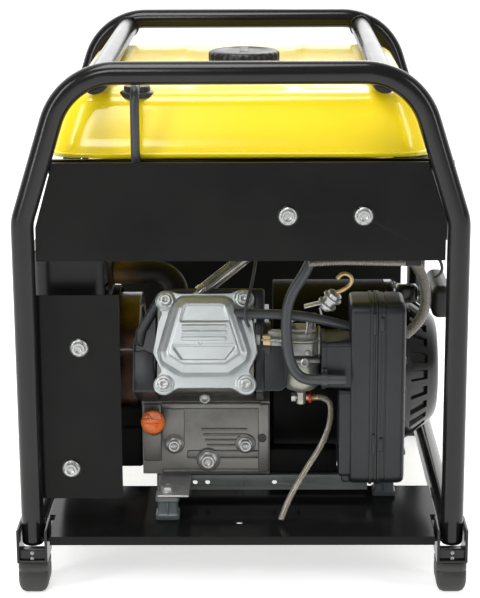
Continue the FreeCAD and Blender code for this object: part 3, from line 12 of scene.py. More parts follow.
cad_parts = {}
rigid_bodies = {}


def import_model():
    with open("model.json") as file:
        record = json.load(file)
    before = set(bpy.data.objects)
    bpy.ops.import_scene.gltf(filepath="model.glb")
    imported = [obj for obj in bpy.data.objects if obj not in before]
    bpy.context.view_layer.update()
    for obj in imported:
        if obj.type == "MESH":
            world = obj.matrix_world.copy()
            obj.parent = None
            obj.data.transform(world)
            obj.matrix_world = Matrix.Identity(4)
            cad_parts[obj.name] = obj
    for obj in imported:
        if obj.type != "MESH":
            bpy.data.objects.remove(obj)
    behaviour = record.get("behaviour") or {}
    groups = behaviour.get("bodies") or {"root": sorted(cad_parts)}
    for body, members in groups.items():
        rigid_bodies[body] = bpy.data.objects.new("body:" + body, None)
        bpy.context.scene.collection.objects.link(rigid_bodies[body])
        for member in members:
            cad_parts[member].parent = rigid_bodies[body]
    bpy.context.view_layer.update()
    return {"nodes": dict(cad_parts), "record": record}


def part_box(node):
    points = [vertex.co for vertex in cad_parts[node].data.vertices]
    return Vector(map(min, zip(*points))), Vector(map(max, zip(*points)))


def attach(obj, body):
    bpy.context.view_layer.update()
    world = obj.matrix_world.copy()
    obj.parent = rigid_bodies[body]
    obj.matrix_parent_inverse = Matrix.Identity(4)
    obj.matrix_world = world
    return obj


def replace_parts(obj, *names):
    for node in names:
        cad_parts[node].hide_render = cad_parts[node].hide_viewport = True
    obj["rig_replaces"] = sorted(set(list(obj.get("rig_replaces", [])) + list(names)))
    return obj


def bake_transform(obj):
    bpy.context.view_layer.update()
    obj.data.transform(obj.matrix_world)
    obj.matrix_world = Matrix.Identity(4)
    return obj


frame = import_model()
rng = random.Random(7)
MM = 0.001
BODY_OF = {node: body for body, nodes in frame["record"]["behaviour"]["bodies"].items() for node in nodes}
SLOT_OF = {part["node"]: part["material_slot"] for part in frame["record"]["subparts"]}


# ---------------------------------------------------------------- materials

def add_node(tree, kind, inputs, **settings):
    """A new shader node, with each input set to a value or linked to another node's output."""
    made = tree.nodes.new("ShaderNode" + kind)
    for setting, value in settings.items():
        setattr(made, setting, value)
    for socket, value in inputs.items():
        if isinstance(value, bpy.types.NodeSocket):
            tree.links.new(value, made.inputs[socket])
        else:
            made.inputs[socket].default_value = value
    return made


class Look:
    """A material in the making. What stays the same all over is set on the shader itself."""

    def __init__(self, name, color, rough=0.5, metal=0.0, coat=0.0, specular=0.5):
        self.material = bpy.data.materials.new(name)
        self.material.use_nodes = True
        self.tree = self.material.node_tree
        self.shader = self.tree.nodes["Principled BSDF"]
        for socket, value in (("Base Color", (*color, 1)), ("Roughness", rough), ("Metallic", metal),
                              ("Coat Weight", coat), ("Coat Roughness", 0.06),
                              ("Specular IOR Level", specular)):
            self.shader.inputs[socket].default_value = value

    def add(self, kind, inputs, **settings):
        return add_node(self.tree, kind, inputs, **settings)

    def set(self, socket, value):
        self.tree.links.new(value, self.shader.inputs[socket])

    def coordinates(self, scale=(1, 1, 1)):
        place = self.add("TexCoord", {}).outputs["Object"]
        return self.add("Mapping", {"Vector": place, "Scale": scale}).outputs["Vector"]

    @functools.cached_property
    def where(self):
        return self.coordinates()

    def noise(self, scale, detail=3.0, rough=0.55, where=None):
        inputs = {"Scale": scale, "Detail": detail, "Roughness": rough, "Vector": where or self.where}
        return self.add("TexNoise", inputs).outputs["Fac"]

    def ramp(self, value, stops):
        """A colour ramp over a value, from (position, colour) stops."""
        made = self.add("ValToRGB", {"Fac": value})
        band = made.color_ramp
        while len(band.elements) < len(stops):
            band.elements.new(0.5)
        for element, (position, color) in zip(band.elements, stops):
            element.position = position
            element.color = (*color, 1)
        return made.outputs["Color"]

    def share(self, value, low, high):
        """0 at a value's low end and 1 at its high end."""
        return self.add("MapRange", {"Value": value, "From Min": low, "From Max": high}).outputs["Result"]

    def uneven_gloss(self, pattern, low, high):
        """Roughness between two values, following a pattern."""
        gloss = self.add("MapRange", {"Value": pattern, "To Min": low, "To Max": high})
        self.set("Roughness", gloss.outputs["Result"])

    def bump(self, height, depth_mm, strength=1.0, after=None):
        inputs = {"Distance": depth_mm * MM, "Strength": strength, "Height": height}
        if after is not None:
            inputs["Normal"] = after
        normal = self.add("Bump", inputs).outputs["Normal"]
        self.set("Normal", normal)
        return normal

    def worn_edges(self, low, high, tone, color):
        """A tone that gives way to a colour on convex edges."""
        edges = self.share(self.add("NewGeometry", {}).outputs["Pointiness"], low, high)
        return self.mixed(edges, tone, color)

    def mixed(self, share, tone, color):
        return self.add("Mix", {0: share, 6: tone, 7: (*color, 1)}, data_type="RGBA").outputs[2]


def paint(name, color, rough, coat, peel=0.05, peel_scale=420, dust=0.35, dust_color=(0.3, 0.29, 0.27),
          specular=0.5):
    """Powder coat or enamel: orange peel, a faint film of dust and slightly uneven gloss."""
    look = Look(name, color, rough, 0.0, coat, specular)
    dusty = tuple(c + dust * 0.06 * (d - c) for c, d in zip(color, dust_color))
    shade = look.ramp(look.noise(9, 5, 0.65), [(0.35, color), (0.85, dusty)])
    look.set("Base Color", look.worn_edges(0.53, 0.62, shade, tuple(min(1, c * 1.4 + 0.004) for c in color)))
    look.uneven_gloss(look.noise(26, 4), rough * 0.75, rough * 1.35)
    look.bump(look.noise(peel_scale, 2), peel)
    return look.material


def plastic(name, color, rough, grain=0.05, grain_scale=2600, coat=0.0, vary=0.25, specular=0.5):
    """Moulded plastic: a fine spark-eroded grain and slightly uneven colour."""
    look = Look(name, color, rough, 0.0, coat, specular)
    dark, light = (tuple(min(1, c * (1 + step)) for c in color) for step in (-vary, vary))
    look.set("Base Color", look.ramp(look.noise(14, 4), [(0.3, dark), (0.8, light)]))
    look.uneven_gloss(look.noise(60, 3), rough * 0.8, rough * 1.2)
    look.bump(look.noise(grain_scale, 2), grain)
    return look.material


def casting(name, color, rough=0.45, metal=0.85, grain=0.12, grain_scale=900, stain=0.45):
    """Sand-blasted cast metal: a pebbled skin, darker stains and brighter edges."""
    look = Look(name, color, rough, metal)
    tone = look.ramp(look.noise(22, 6, 0.7), [(0.32, tuple(c * (1 - stain) for c in color)), (0.62, color)])
    look.set("Base Color", look.worn_edges(0.52, 0.6, tone, tuple(min(1, c * 1.35) for c in color)))
    look.uneven_gloss(look.noise(45, 4), rough * 0.75, rough * 1.3)
    first = look.bump(look.noise(grain_scale, 3), grain)
    look.bump(look.noise(120, 2), grain * 1.5, 0.6, first)
    return look.material


def plated(name, color, rough=0.3, streak=0.35):
    """Zinc-plated or machined steel: faint streaks, cloudy spangle and small scratches."""
    look = Look(name, color, rough, 0.72)
    dark = tuple(c * (1 - streak) for c in color)
    look.set("Base Color", look.ramp(look.noise(70, 5, 0.7), [(0.3, dark), (0.7, color)]))
    look.uneven_gloss(look.noise(3, 3, where=look.coordinates((40, 900, 900))), rough * 0.7, rough * 1.5)
    look.bump(look.noise(700, 3), 0.03)
    return look.material


def rubber(name, color, rough=0.62, grain=0.08):
    look = Look(name, color, rough)
    bloom = tuple(c + 0.014 for c in color)
    look.set("Base Color", look.ramp(look.noise(30, 5, 0.7), [(0.35, color), (0.9, bloom)]))
    look.uneven_gloss(look.noise(80, 3), rough * 0.8, rough * 1.15)
    look.bump(look.noise(1400, 3), grain)
    return look.material


def heat_tinted(name):
    """Steel that heat has turned straw and brown near the muffler's socket, and sooty black elsewhere."""
    look = Look(name, (0.05, 0.03, 0.02), 0.42, 0.6)
    clouds = look.noise(24, 4, 0.6, look.coordinates((1, 1, 2.2)))
    tint = look.ramp(clouds, [(0.28, (0.02, 0.012, 0.006)), (0.5, (0.1, 0.055, 0.016)),
                              (0.72, (0.2, 0.12, 0.04))])
    across = look.add("SeparateXYZ", {"Vector": look.where}).outputs["X"]
    look.set("Base Color", look.mixed(look.share(across, -0.122, -0.098), tint, (0.008, 0.007, 0.006)))
    look.uneven_gloss(look.noise(90, 4), 0.35, 0.7)
    look.bump(look.noise(300, 4), 0.1)
    return look.material


def wound_wire(name):
    """Enamelled copper wire laid in rows, its colour darkened almost to black as painted shade."""
    look = Look(name, (0.05, 0.025, 0.012), 0.4, 0.5, 0.2)
    # Copper tones darkened almost to black: painted shade for windings that the housing keeps in shadow.
    copper = look.ramp(look.noise(60, 4), [(0.3, (0.02, 0.01, 0.005)), (0.7, (0.09, 0.04, 0.018))])
    look.set("Base Color", copper)
    look.bump(look.noise(500, 2), 0.08)
    return look.material


def clear_vinyl(name):
    """Slightly yellowed clear tube."""
    look = Look(name, (0.5, 0.46, 0.37), 0.12, 0.0, 0.7)
    look.shader.inputs["Transmission Weight"].default_value = 0.65
    look.shader.inputs["IOR"].default_value = 1.45
    look.set("Base Color", look.ramp(look.noise(60, 3), [(0.3, (0.4, 0.36, 0.28)), (0.8, (0.6, 0.56, 0.46))]))
    look.bump(look.noise(220, 2), 0.05)
    return look.material


def foam(name):
    look = Look(name, (0.32, 0.31, 0.27), 0.95)
    cells = look.add("TexVoronoi", {"Scale": 700, "Vector": look.where}).outputs["Distance"]
    look.set("Base Color", look.ramp(cells, [(0.1, (0.12, 0.11, 0.1)), (0.6, (0.36, 0.34, 0.3))]))
    look.bump(cells, 0.5)
    return look.material


def braid(name):
    """Braided starter cord."""
    look = Look(name, (0.03, 0.03, 0.03), 0.8)
    waves = look.add("TexWave", {"Scale": 260, "Vector": look.where},
                     bands_direction="DIAGONAL").outputs["Fac"]
    look.set("Base Color", look.ramp(waves, [(0.2, (0.012, 0.012, 0.012)), (0.8, (0.09, 0.09, 0.085))]))
    look.bump(waves, 0.3)
    return look.material


LOOKS = {
    "frame_black": paint("tube_powder_coat", (0.0042, 0.0043, 0.0044), 0.18, 0.0, 0.03, 380, specular=0.32),
    "plate_black": paint("sheet_powder_coat", (0.0035, 0.0035, 0.0035), 0.15, 0.0, 0.02, 300, specular=0.1),
    "foot_rubber": rubber("foot_rubber_look", (0.012, 0.012, 0.011), 0.5),
    "mount_rubber": rubber("mount_rubber_look", (0.1, 0.115, 0.12), 0.4),
    "zinc": plated("zinc_plate", (0.46, 0.47, 0.46), 0.3),
    "beam_zinc": casting("beam_zinc_look", (0.17, 0.18, 0.18), 0.3, 0.35, 0.03, 700, 0.5),
    "cast_aluminium": casting("engine_casting", (0.15, 0.148, 0.138), 0.36, 0.6),
    "cover_aluminium": casting("cover_casting", (0.36, 0.385, 0.385), 0.3, 0.55, 0.015, 1300, 0.08),
    "bowl_metal": casting("bowl_casting", (0.3, 0.3, 0.26), 0.36, 0.7, 0.08, 1100, 0.35),
    "machined_steel": plated("machined_steel_look", (0.42, 0.42, 0.4), 0.28),
    "piston_aluminium": plated("piston_alloy", (0.55, 0.55, 0.55), 0.3, 0.15),
    "flywheel_iron": casting("flywheel_casting", (0.09, 0.09, 0.095), 0.5, 0.8),
    "shroud_grey": paint("shroud_paint", (0.013, 0.0155, 0.017), 0.34, 0.0, 0.05, 500, specular=0.4),
    "recoil_black": paint("recoil_paint", (0.0035, 0.0035, 0.0035), 0.2, 0.0, 0.04, 420, specular=0.4),
    "air_box_plastic": plastic("air_box_look", (0.0125, 0.014, 0.0155), 0.36, 0.05, specular=0.35),
    "filter_foam": foam("filter_foam_look"),
    "grip_plastic": plastic("grip_look", (0.01, 0.01, 0.01), 0.4, 0.07, specular=0.4),
    "rope_fabric": braid("rope_braid"),
    "core_steel": plated("core_steel_look", (0.1, 0.095, 0.09), 0.5, 0.5),
    "copper": wound_wire("winding_wire_painted_shade"),
    # The aluminium inverter gets near-black, low-gloss paint: painted shade for its place deep inside.
    "inverter_aluminium": paint("inverter_painted_shade", (0.004, 0.004, 0.004), 0.4, 0.0, 0.05, 500, specular=0.1),
    "exhaust_steel": heat_tinted("exhaust_tint"),
    "muffler_black": paint("muffler_paint", (0.004, 0.004, 0.0045), 0.3, 0.0, 0.05, 300, specular=0.25),
    "panel_plastic": plastic("panel_look", (0.006, 0.006, 0.0065), 0.4, 0.06, specular=0.3),
    "button_red": plastic("button_look", (0.5, 0.012, 0.01), 0.3, 0.02, 1500, 0.4),
    "tank_yellow": paint("tank_enamel", (0.93, 0.7, 0.012), 0.22, 0.35, 0.012, 160, 0.1, (0.85, 0.62, 0.06)),
    "cap_black": plastic("cap_look", (0.009, 0.009, 0.009), 0.35, 0.05, specular=0.4),
    "dipstick_orange": plastic("dipstick_look", (0.78, 0.15, 0.01), 0.35, 0.04, 1800, 0.1, 0.12),
    "hose_rubber": rubber("hose_look", (0.022, 0.025, 0.029), 0.4, 0.05),
    "clear_tube": clear_vinyl("clear_vinyl_look"),
    "loom_sleeve": plastic("loom_look", (0.19, 0.175, 0.15), 0.32, 0.05),
    "plug_ceramic": plastic("plug_look", (0.5, 0.49, 0.46), 0.15, 0.01, 800, 0.7, 0.05),
}
BRASS = plated("brass_fitting", (0.55, 0.4, 0.2), 0.32, 0.3)
CHROME = plated("bright_sleeve", (0.4, 0.385, 0.35), 0.2, 0.45)
# Near-black with almost no gloss, for parts deep inside: black paint darkened further as painted shade.
SHADE_BLACK = paint("painted_shade_black", (0.0025, 0.0025, 0.0025), 0.5, 0.0, 0.05, 420, specular=0.05)
CARB_ALLOY = casting("carburettor_alloy", (0.26, 0.265, 0.25), 0.36, 0.65, 0.07, 1200, 0.4)
RED_SEAL = plastic("red_seal", (0.35, 0.015, 0.012), 0.3, 0.02, 1500, 0.4)
BLUE_PLUG = plastic("blue_connector", (0.012, 0.03, 0.16), 0.35)


# ---------------------------------------------------------------- mesh helpers

def dress(piece, slot_name, look=None, body="frame"):
    """Gives a finished piece its look, its body and its slot."""
    piece.data.materials.clear()
    piece.data.materials.append(look or LOOKS[slot_name])
    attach(piece, body)
    return piece


def linked(name, data):
    piece = bpy.data.objects.new(name, data)
    bpy.context.scene.collection.objects.link(piece)
    return piece


def from_bmesh(name, build, smooth_angle=35):
    data = bpy.data.meshes.new(name)
    build.normal_update()
    build.to_mesh(data)
    build.free()
    return smooth(linked(name, data), smooth_angle)


def smooth(piece, angle):
    data = piece.data
    data.polygons.foreach_set("use_smooth", [True] * len(data.polygons))
    data.set_sharp_from_angle(angle=math.radians(angle))
    return piece


def apply_modifiers(piece):
    """Turns a piece's modifiers into plain mesh."""
    graph = bpy.context.evaluated_depsgraph_get()
    data = bpy.data.meshes.new_from_object(piece.evaluated_get(graph))
    piece.modifiers.clear()
    piece.data = data


def round_edges(piece, width_mm, segments, harden):
    rounding = piece.modifiers.new("rounding", "BEVEL")
    rounding.width = width_mm * MM
    rounding.segments = segments
    rounding.limit_method = "ANGLE"
    rounding.angle_limit = math.radians(30)
    rounding.harden_normals = harden
    apply_modifiers(piece)


def soften(node, width_mm=0.8, segments=3):
    """A CAD node with its sharp edges rounded, in the node's own look."""
    source = frame["nodes"][node]
    build = bmesh.new()
    build.from_mesh(source.data)
    build.transform(source.matrix_world)
    bmesh.ops.remove_doubles(build, verts=build.verts, dist=0.00002)
    bmesh.ops.dissolve_limit(build, angle_limit=math.radians(1.0), verts=build.verts, edges=build.edges)
    bmesh.ops.dissolve_degenerate(build, dist=0.00002, edges=build.edges)
    piece = from_bmesh("soft_" + node, build, 40)
    round_edges(piece, width_mm, segments, True)
    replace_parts(piece, node)
    return dress(piece, SLOT_OF[node], body=BODY_OF[node])


def loft(name, outlines, angle=40, matrix=None, recalculate=False, capped=True, merge=False):
    """A skin of quads over outlines of as many points each, in metres."""
    build = bmesh.new()
    rings = [[build.verts.new(point) for point in outline] for outline in outlines]
    for low, high in zip(rings, rings[1:]):
        for i in range(len(low)):
            j = (i + 1) % len(low)
            build.faces.new((low[i], low[j], high[j], high[i]))
    if capped:
        build.faces.new(list(reversed(rings[0])))
        build.faces.new(rings[-1])
    if merge:
        bmesh.ops.remove_doubles(build, verts=build.verts, dist=0.000005)
    if matrix is not None:
        build.transform(matrix)
    if recalculate:
        bmesh.ops.recalc_face_normals(build, faces=build.faces)
    return from_bmesh(name, build, angle)


def angles(count):
    return [2 * math.pi * i / count for i in range(count)]


def circle(radius, height, count=48):
    """Points of a circle about Z, from mm to metres."""
    return [(radius * MM * math.cos(a), radius * MM * math.sin(a), height * MM) for a in angles(count)]


def grooved(stations, count, depth_mm, period, pressed_in, sink=0.0):
    """Outlines about Z from (radius, height, share) stations, pressed in at some points of each period."""
    outlines = []
    for radius, height, share in stations:
        outline = []
        for i, angle in enumerate(angles(count)):
            depth = depth_mm * share * (i % period in pressed_in)
            size = (radius - depth) * MM
            outline.append((size * math.cos(angle), size * math.sin(angle), (height - depth * sink) * MM))
        outlines.append(outline)
    return outlines


def rounded_box(name, low, high, radius_mm, segments=3):
    """A box between two corners, in mm, with rounded edges."""
    build = bmesh.new()
    size = [(b - a) * MM for a, b in zip(low, high)]
    middle = Vector([(a + b) / 2 * MM for a, b in zip(low, high)])
    bmesh.ops.create_cube(build, size=1, matrix=Matrix.Translation(middle) @ Matrix.Diagonal((*size, 1)))
    bmesh.ops.bevel(build, geom=build.edges[:], offset=min(radius_mm * MM, min(size) * 0.49),
                    segments=segments,
                    profile=0.5, affect="EDGES")
    return from_bmesh(name, build)


def box(name, low, high, radius_mm, slot_name, look=None, body="frame", segments=3):
    return dress(rounded_box(name, low, high, radius_mm, segments), slot_name, look, body)


def lathe(name, profile, matrix, slot_name, look=None, count=48):
    """A piece turned about Z from (radius, height) points in mm, then placed by a matrix in metres."""
    outlines = [circle(radius, height, count) for radius, height in profile]
    return dress(loft(name, outlines, 35, matrix, merge=True), slot_name, look)


def at(x, y, z):
    """A move to a place in mm."""
    return Matrix.Translation(Vector((x, y, z)) * MM)


def along_x(y, z):
    """A turn of +Z to +X, on a line through a place."""
    return at(0, y, z) @ Matrix.Rotation(math.radians(90), 4, "Y")


def facing(place_mm, direction):
    """A matrix that turns +Z to a direction and moves the origin to a place."""
    turn = Vector((0, 0, 1)).rotation_difference(Vector(direction).normalized())
    return at(*place_mm) @ turn.to_matrix().to_4x4()


def wire(name, points_mm, radius_mm, cyclic=False):
    """A round hose, lead or rod along a smooth NURBS line."""
    data = bpy.data.curves.new(name, "CURVE")
    data.dimensions = "3D"
    data.bevel_depth = radius_mm * MM
    data.bevel_resolution = 6
    data.use_fill_caps = True
    line = data.splines.new("NURBS")
    line.points.add(len(points_mm) - 1)
    for point, place in zip(line.points, points_mm):
        point.co = (*[c * MM for c in place], 1)
    line.order_u = 3
    line.use_endpoint_u = not cyclic
    line.use_cyclic_u = cyclic
    line.resolution_u = 10
    return linked(name, data)


def line_points(points_mm, step_mm):
    """Points at even steps along the smooth NURBS line of a route, in metres."""
    guide = wire("route_guide", points_mm, 0)
    graph = bpy.context.evaluated_depsgraph_get()
    data = bpy.data.meshes.new_from_object(guide.evaluated_get(graph))
    places = [vertex.co.copy() for vertex in data.vertices]
    bpy.data.objects.remove(guide)
    bpy.data.meshes.remove(data)
    even = [places[0]]
    left = step_mm * MM
    for a, b in zip(places, places[1:]):
        span = (b - a).length
        while span > left:
            a = a + (b - a).normalized() * left
            even.append(a)
            span = (b - a).length
            left = step_mm * MM
        left -= span
    return even


def corrugated(name, points_mm, radius_mm):
    """A split corrugated sleeve along a route."""
    pitch_mm, depth_mm, sides = 2.6, 0.8, 20
    places = line_points(points_mm, pitch_mm / 4)
    outlines = []
    across = Vector((0, 1, 0))
    for index, place in enumerate(places):
        ahead = (places[min(index + 1, len(places) - 1)] - places[max(index - 1, 0)]).normalized()
        across = (across - ahead * across.dot(ahead)).normalized()
        up = ahead.cross(across)
        size = (radius_mm - (depth_mm if index % 4 in (2, 3) else 0)) * MM
        outlines.append([place + across * size * math.cos(a) + up * size * math.sin(a)
                         for a in angles(sides)])
    return loft(name, outlines, 60)


def coil_spring(name, start_mm, end_mm, radius_mm, wire_mm, turns):
    """A small helical spring between two points."""
    start = Vector(start_mm)
    axis = Vector(end_mm) - start
    across = axis.orthogonal().normalized()
    up = axis.normalized().cross(across)
    count = int(turns * 12)
    places = []
    for i in range(count + 1):
        angle = 2 * math.pi * i / 12
        places.append(start + axis * i / count
                      + (across * math.cos(angle) + up * math.sin(angle)) * radius_mm)
    dress(wire(name, places, wire_mm / 2), "zinc")


def hexagon(across_mm, height, corner):
    """48 points round a hexagon whose corners are cut at a share of its half width."""
    outline = []
    for angle in angles(48):
        flat = across_mm / 2 / math.cos((angle % (math.pi / 3)) - math.pi / 6)
        radius = min(flat, across_mm / 2 * corner)
        outline.append((radius * MM * math.cos(angle), radius * MM * math.sin(angle), height * MM))
    return outline


def hex_bolt(name, place_mm, direction, across_mm, height_mm, flange_mm, dish=1.2):
    """A flange bolt's head: a flange, a hexagon with a chamfered top and a shallow dish."""
    inner = across_mm / 2 * 0.62
    outlines = [circle(flange_mm, 0), circle(flange_mm, 0.9), circle(flange_mm - 0.6, 1.5),
                circle(across_mm * 0.6, 2.0), hexagon(across_mm, 2.1, 1.2),
                hexagon(across_mm, height_mm - 1, 1.2),
                hexagon(across_mm, height_mm, 1.0), circle(inner + 0.5, height_mm),
                circle(inner, height_mm - dish * 0.6), circle(inner * 0.6, height_mm - dish)]
    return dress(loft(name, outlines, 30, facing(place_mm, direction)), "zinc")


def screw(name, place_mm, direction, radius_mm):
    """A pan-head screw with a cross recess."""
    lathe(name, [(radius_mm, 0), (radius_mm, 0.8), (radius_mm * 0.8, 1.8), (radius_mm * 0.35, 2.2),
                 (radius_mm * 0.25, 1.2), (0.1, 1.1)], facing(place_mm, direction), "zinc", count=24)


def clamp(name, place_mm, along, radius_mm, slot_name):
    """A spring hose clamp: a flat band with two ears."""
    half_width = 3.0
    lathe(name, [(radius_mm - 0.1, -half_width), (radius_mm + 0.9, -half_width),
                 (radius_mm + 0.9, half_width),
                 (radius_mm - 0.1, half_width)], facing(place_mm, along), slot_name, count=40)
    side = Vector(along).orthogonal().normalized()
    half_ear = Vector((1.1, 1.1, 3))
    for i, shift in enumerate((-1.6, 1.6)):
        centre = Vector(place_mm) + side * (radius_mm + 3.5) + Vector(along).normalized() * shift
        box("%s_ear_%d" % (name, i), centre - half_ear, centre + half_ear, 0.4, slot_name, segments=2)


# ---------------------------------------------------------------- places, in mm

CRANK = Vector((0, -52, 176))
CYLINDER_X = -36
LEAN = Matrix.Translation(CRANK * MM) @ Matrix.Rotation(math.radians(65), 4, "X")
LEAN_AXIS = LEAN.to_3x3() @ Vector((0, 0, 1))
PANEL = at(223.3, 0, 342) @ Matrix.Rotation(math.radians(-10), 4, "Y")
ROPE_Y, ROPE_Z = -97, 268
CARB_Y, CARB_Z = -168, 234.5
NIPPLE_Z = 177
DRAIN_ROUTE = [(77.1, -168, 177), (84.2, -168.2, 176.3), (89.6, -169, 171.2), (90.6, -171, 162),
               (88.6, -175, 148), (80, -182, 129), (66, -191.5, 110), (53, -201, 91), (44, -209, 75),
               (39, -215.5, 62.5)]
BREATHER_ROUTE = [(-8, -192, 272), (22, -191, 271), (52, -190.5, 270), (82, -188, 264), (107.6, -184, 256)]
PURGE_ROUTE = [(74, -208, 343.6), (66, -209, 322), (46, -211, 293), (43.5, -213.5, 262), (47, -216, 229),
               (58, -218.5, 211.5), (80, -219, 211), (103, -219, 211)]
VENT_ROUTE = [(-100, -201, 500), (-100, -218, 502), (-100, -226.5, 488), (-100, -227, 460),
              (-100, -226.5, 431), (-96, -222, 404), (-78, -217, 384), (-48, -214, 374), (-10, -213, 371),
              (27.6, -212, 371)]
SILL_ROUTE = [(66, -226, 331), (92, -222.5, 332), (120, -221, 331), (148, -219, 330), (172, -208, 327)]
DROP_ROUTE = [(171, -150, 318), (181, -146, 304), (187, -144, 285), (187, -143, 263), (179, -143, 246),
              (166, -146, 236)]


def smoothstep(low, high, value):
    share = min(1.0, max(0.0, (value - low) / (high - low)))
    return share * share * (3 - 2 * share)


def polygon_distance(x, y, corners):
    """Signed distance from a point to a polygon, negative inside."""
    best = 1e9
    inside = False
    for (ax, ay), (bx, by) in zip(corners, corners[1:] + corners[:1]):
        ex, ey = bx - ax, by - ay
        share = max(0, min(1, ((x - ax) * ex + (y - ay) * ey) / (ex * ex + ey * ey)))
        best = min(best, math.hypot(x - ax - ex * share, y - ay - ey * share))
        if (ay > y) != (by > y) and x < (bx - ax) * (y - ay) / (by - ay) + ax:
            inside = not inside
    return -best if inside else best


def blend_min(a, b, reach):
    """The smaller of two distances, rounded where they meet."""
    share = max(0.0, min(1.0, 0.5 + 0.5 * (b - a) / reach))
    return b + (a - b) * share - reach * share * (1 - share)


# ---------------------------------------------------------------- valve cover

EARS = [(-40, 42), (38.4, 43), (-41.2, -42.6), (40.5, -42.6)]


def cover_outline(x, y):
    plate = polygon_distance(x, y, [(-33, -43), (33, -43), (49, -10), (44, 20), (31, 46), (-31, 46),
                                    (-44, 20), (-49, -10)]) - 3
    for ear_x, ear_y in EARS:
        plate = blend_min(plate, math.hypot(x - ear_x, y - ear_y) - 10.2, 7)
    return plate


def cover_height(x, y):
    """The cover's height over its seat, in mm."""
    body = polygon_distance(x, y, [(-20, -24), (20, -24), (33, -15), (34, -12), (20, 32), (16, 35), (-20, 35),
                                   (-24, 32), (-36, -11), (-35, -15)]) - 11
    height = 4.0 + 9.4 * smoothstep(1.0, -3.5, body) + 4.6 * smoothstep(-1.5, -12, body)
    recess = polygon_distance(x, y, [(-19, 34), (17.5, 34), (21.5, 20), (-23, 20)]) - 1.5
    height -= 1.5 * smoothstep(1.2, -1.2, recess)
    trough = polygon_distance(x, y, [(-31.3, -5.2), (29.3, -5.2), (29, -8), (19.6, -19.5), (-22.7, -19.5),
                                     (-31, -8)])
    height -= 1.5 * smoothstep(1.2, -1.2, trough)
    for bar_y in (1.2, 7.2, 13.2):
        bar = math.hypot(max(0, abs(x + 1) - 21), max(0, abs(y - bar_y) - 0.6))
        height += 0.9 * smoothstep(1.4, 0.6, bar)
    for ear_x, ear_y in EARS:
        distance = math.hypot(x - ear_x, y - ear_y)
        height = max(height, 4.0 + 1.4 * smoothstep(9.6, 8.4, distance))
    return height



def valve_cover():
    """The cast cover as one skin: rings that follow its outline, at the height that the casting has there."""
    around, inward, blur = 420, 80, 28
    edge = []
    for angle in angles(around):
        low, high = 20.0, 75.0
        for _ in range(26):
            middle = (low + high) / 2
            if cover_outline(middle * math.cos(angle), middle * math.sin(angle)) < 0:
                low = middle
            else:
                high = middle
        edge.append((angle, low))
    rings = [[(r * math.cos(a), r * math.sin(a), height) for a, r in edge] for height in (0.0, 3.2)]
    calm = [sum(edge[(i + k) % around][1] for k in range(-blur,
                                                         blur + 1)) / (2 * blur + 1) for i in range(around)]
    for step in range(inward):
        share = 0.988 - step / (inward - 1) * 0.985
        near = share ** 6
        points = []
        for (angle, radius), middle in zip(edge, calm):
            reach = share * (radius * near + middle * (1 - near))
            x, y = reach * math.cos(angle), reach * math.sin(angle)
            points.append((x, y, cover_height(x, y)))
        rings.append(points)
    outlines = [[((x + CYLINDER_X) * MM, y * MM, (158 + z) * MM) for x, y, z in points] for points in rings]
    piece = loft("valve_cover_casting", outlines, 50, LEAN)
    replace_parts(piece, "valve_cover")
    dress(piece, "cover_aluminium")
    for index, (x, y) in enumerate(EARS):
        seat = LEAN @ (Vector((x + CYLINDER_X, y, 163.4)) * MM)
        hex_bolt("cover_bolt_%d" % index, seat / MM, LEAN_AXIS, 9, 4.6, 6.3)


# ---------------------------------------------------------------- tank

def rounded_rectangle(half_x, half_y, corner, z, count=16):
    """Points round a rectangle with round corners, the same number for every size."""
    points = []
    for sign_x, sign_y, start in ((1, 1, 0), (-1, 1, 90), (-1, -1, 180), (1, -1, 270)):
        centre_x, centre_y = sign_x * (half_x - corner), sign_y * (half_y - corner)
        for i in range(count + 1):
            angle = math.radians(start + 90 * i / count)
            points.append([centre_x + corner * math.cos(angle), centre_y + corner * math.sin(angle), z])
    return points


def moved(outline, x=0, y=0):
    """An outline in mm, moved and turned into metres."""
    return [((x + p[0]) * MM, (y + p[1]) * MM, p[2] * MM) for p in outline]


def divided(points, longest):
    """The same outline with its long sides divided."""
    out = []
    for a, b in zip(points, points[1:] + points[:1]):
        out.append(a)
        count = int(math.hypot(b[0] - a[0], b[1] - a[1]) // longest)
        for i in range(1, count + 1):
            share = i / (count + 1)
            out.append([p + (q - p) * share for p, q in zip(a, b)])
    return out


def divided_to(points, count):
    """An outline resampled to a number of points, evenly by its length."""
    lengths = [math.dist(a[:2], b[:2]) for a, b in zip(points, points[1:] + points[:1])]
    total = sum(lengths)
    out = []
    index, walked = 0, 0.0
    for i in range(count):
        wanted = total * i / count
        while walked + lengths[index] < wanted:
            walked += lengths[index]
            index += 1
        share = (wanted - walked) / lengths[index] if lengths[index] else 0
        a, b = points[index], points[(index + 1) % len(points)]
        out.append([p + (q - p) * share for p, q in zip(a, b)])
    return out


def tank_lift(x, y):
    """How far the tank's pressed top stands above its plain crown, in mm."""
    crown = 5.0 * (1 - (x / 190) ** 2) * (1 - (y / 225) ** 2)
    band = smoothstep(50, 42, abs(x - 1.5)) * smoothstep(-120, -150, y)
    side = smoothstep(58, 66, abs(x - 1.5)) * smoothstep(150, 140, abs(x)) * smoothstep(195, 180, abs(y))
    return crown + 2.2 * band + 1.6 * side


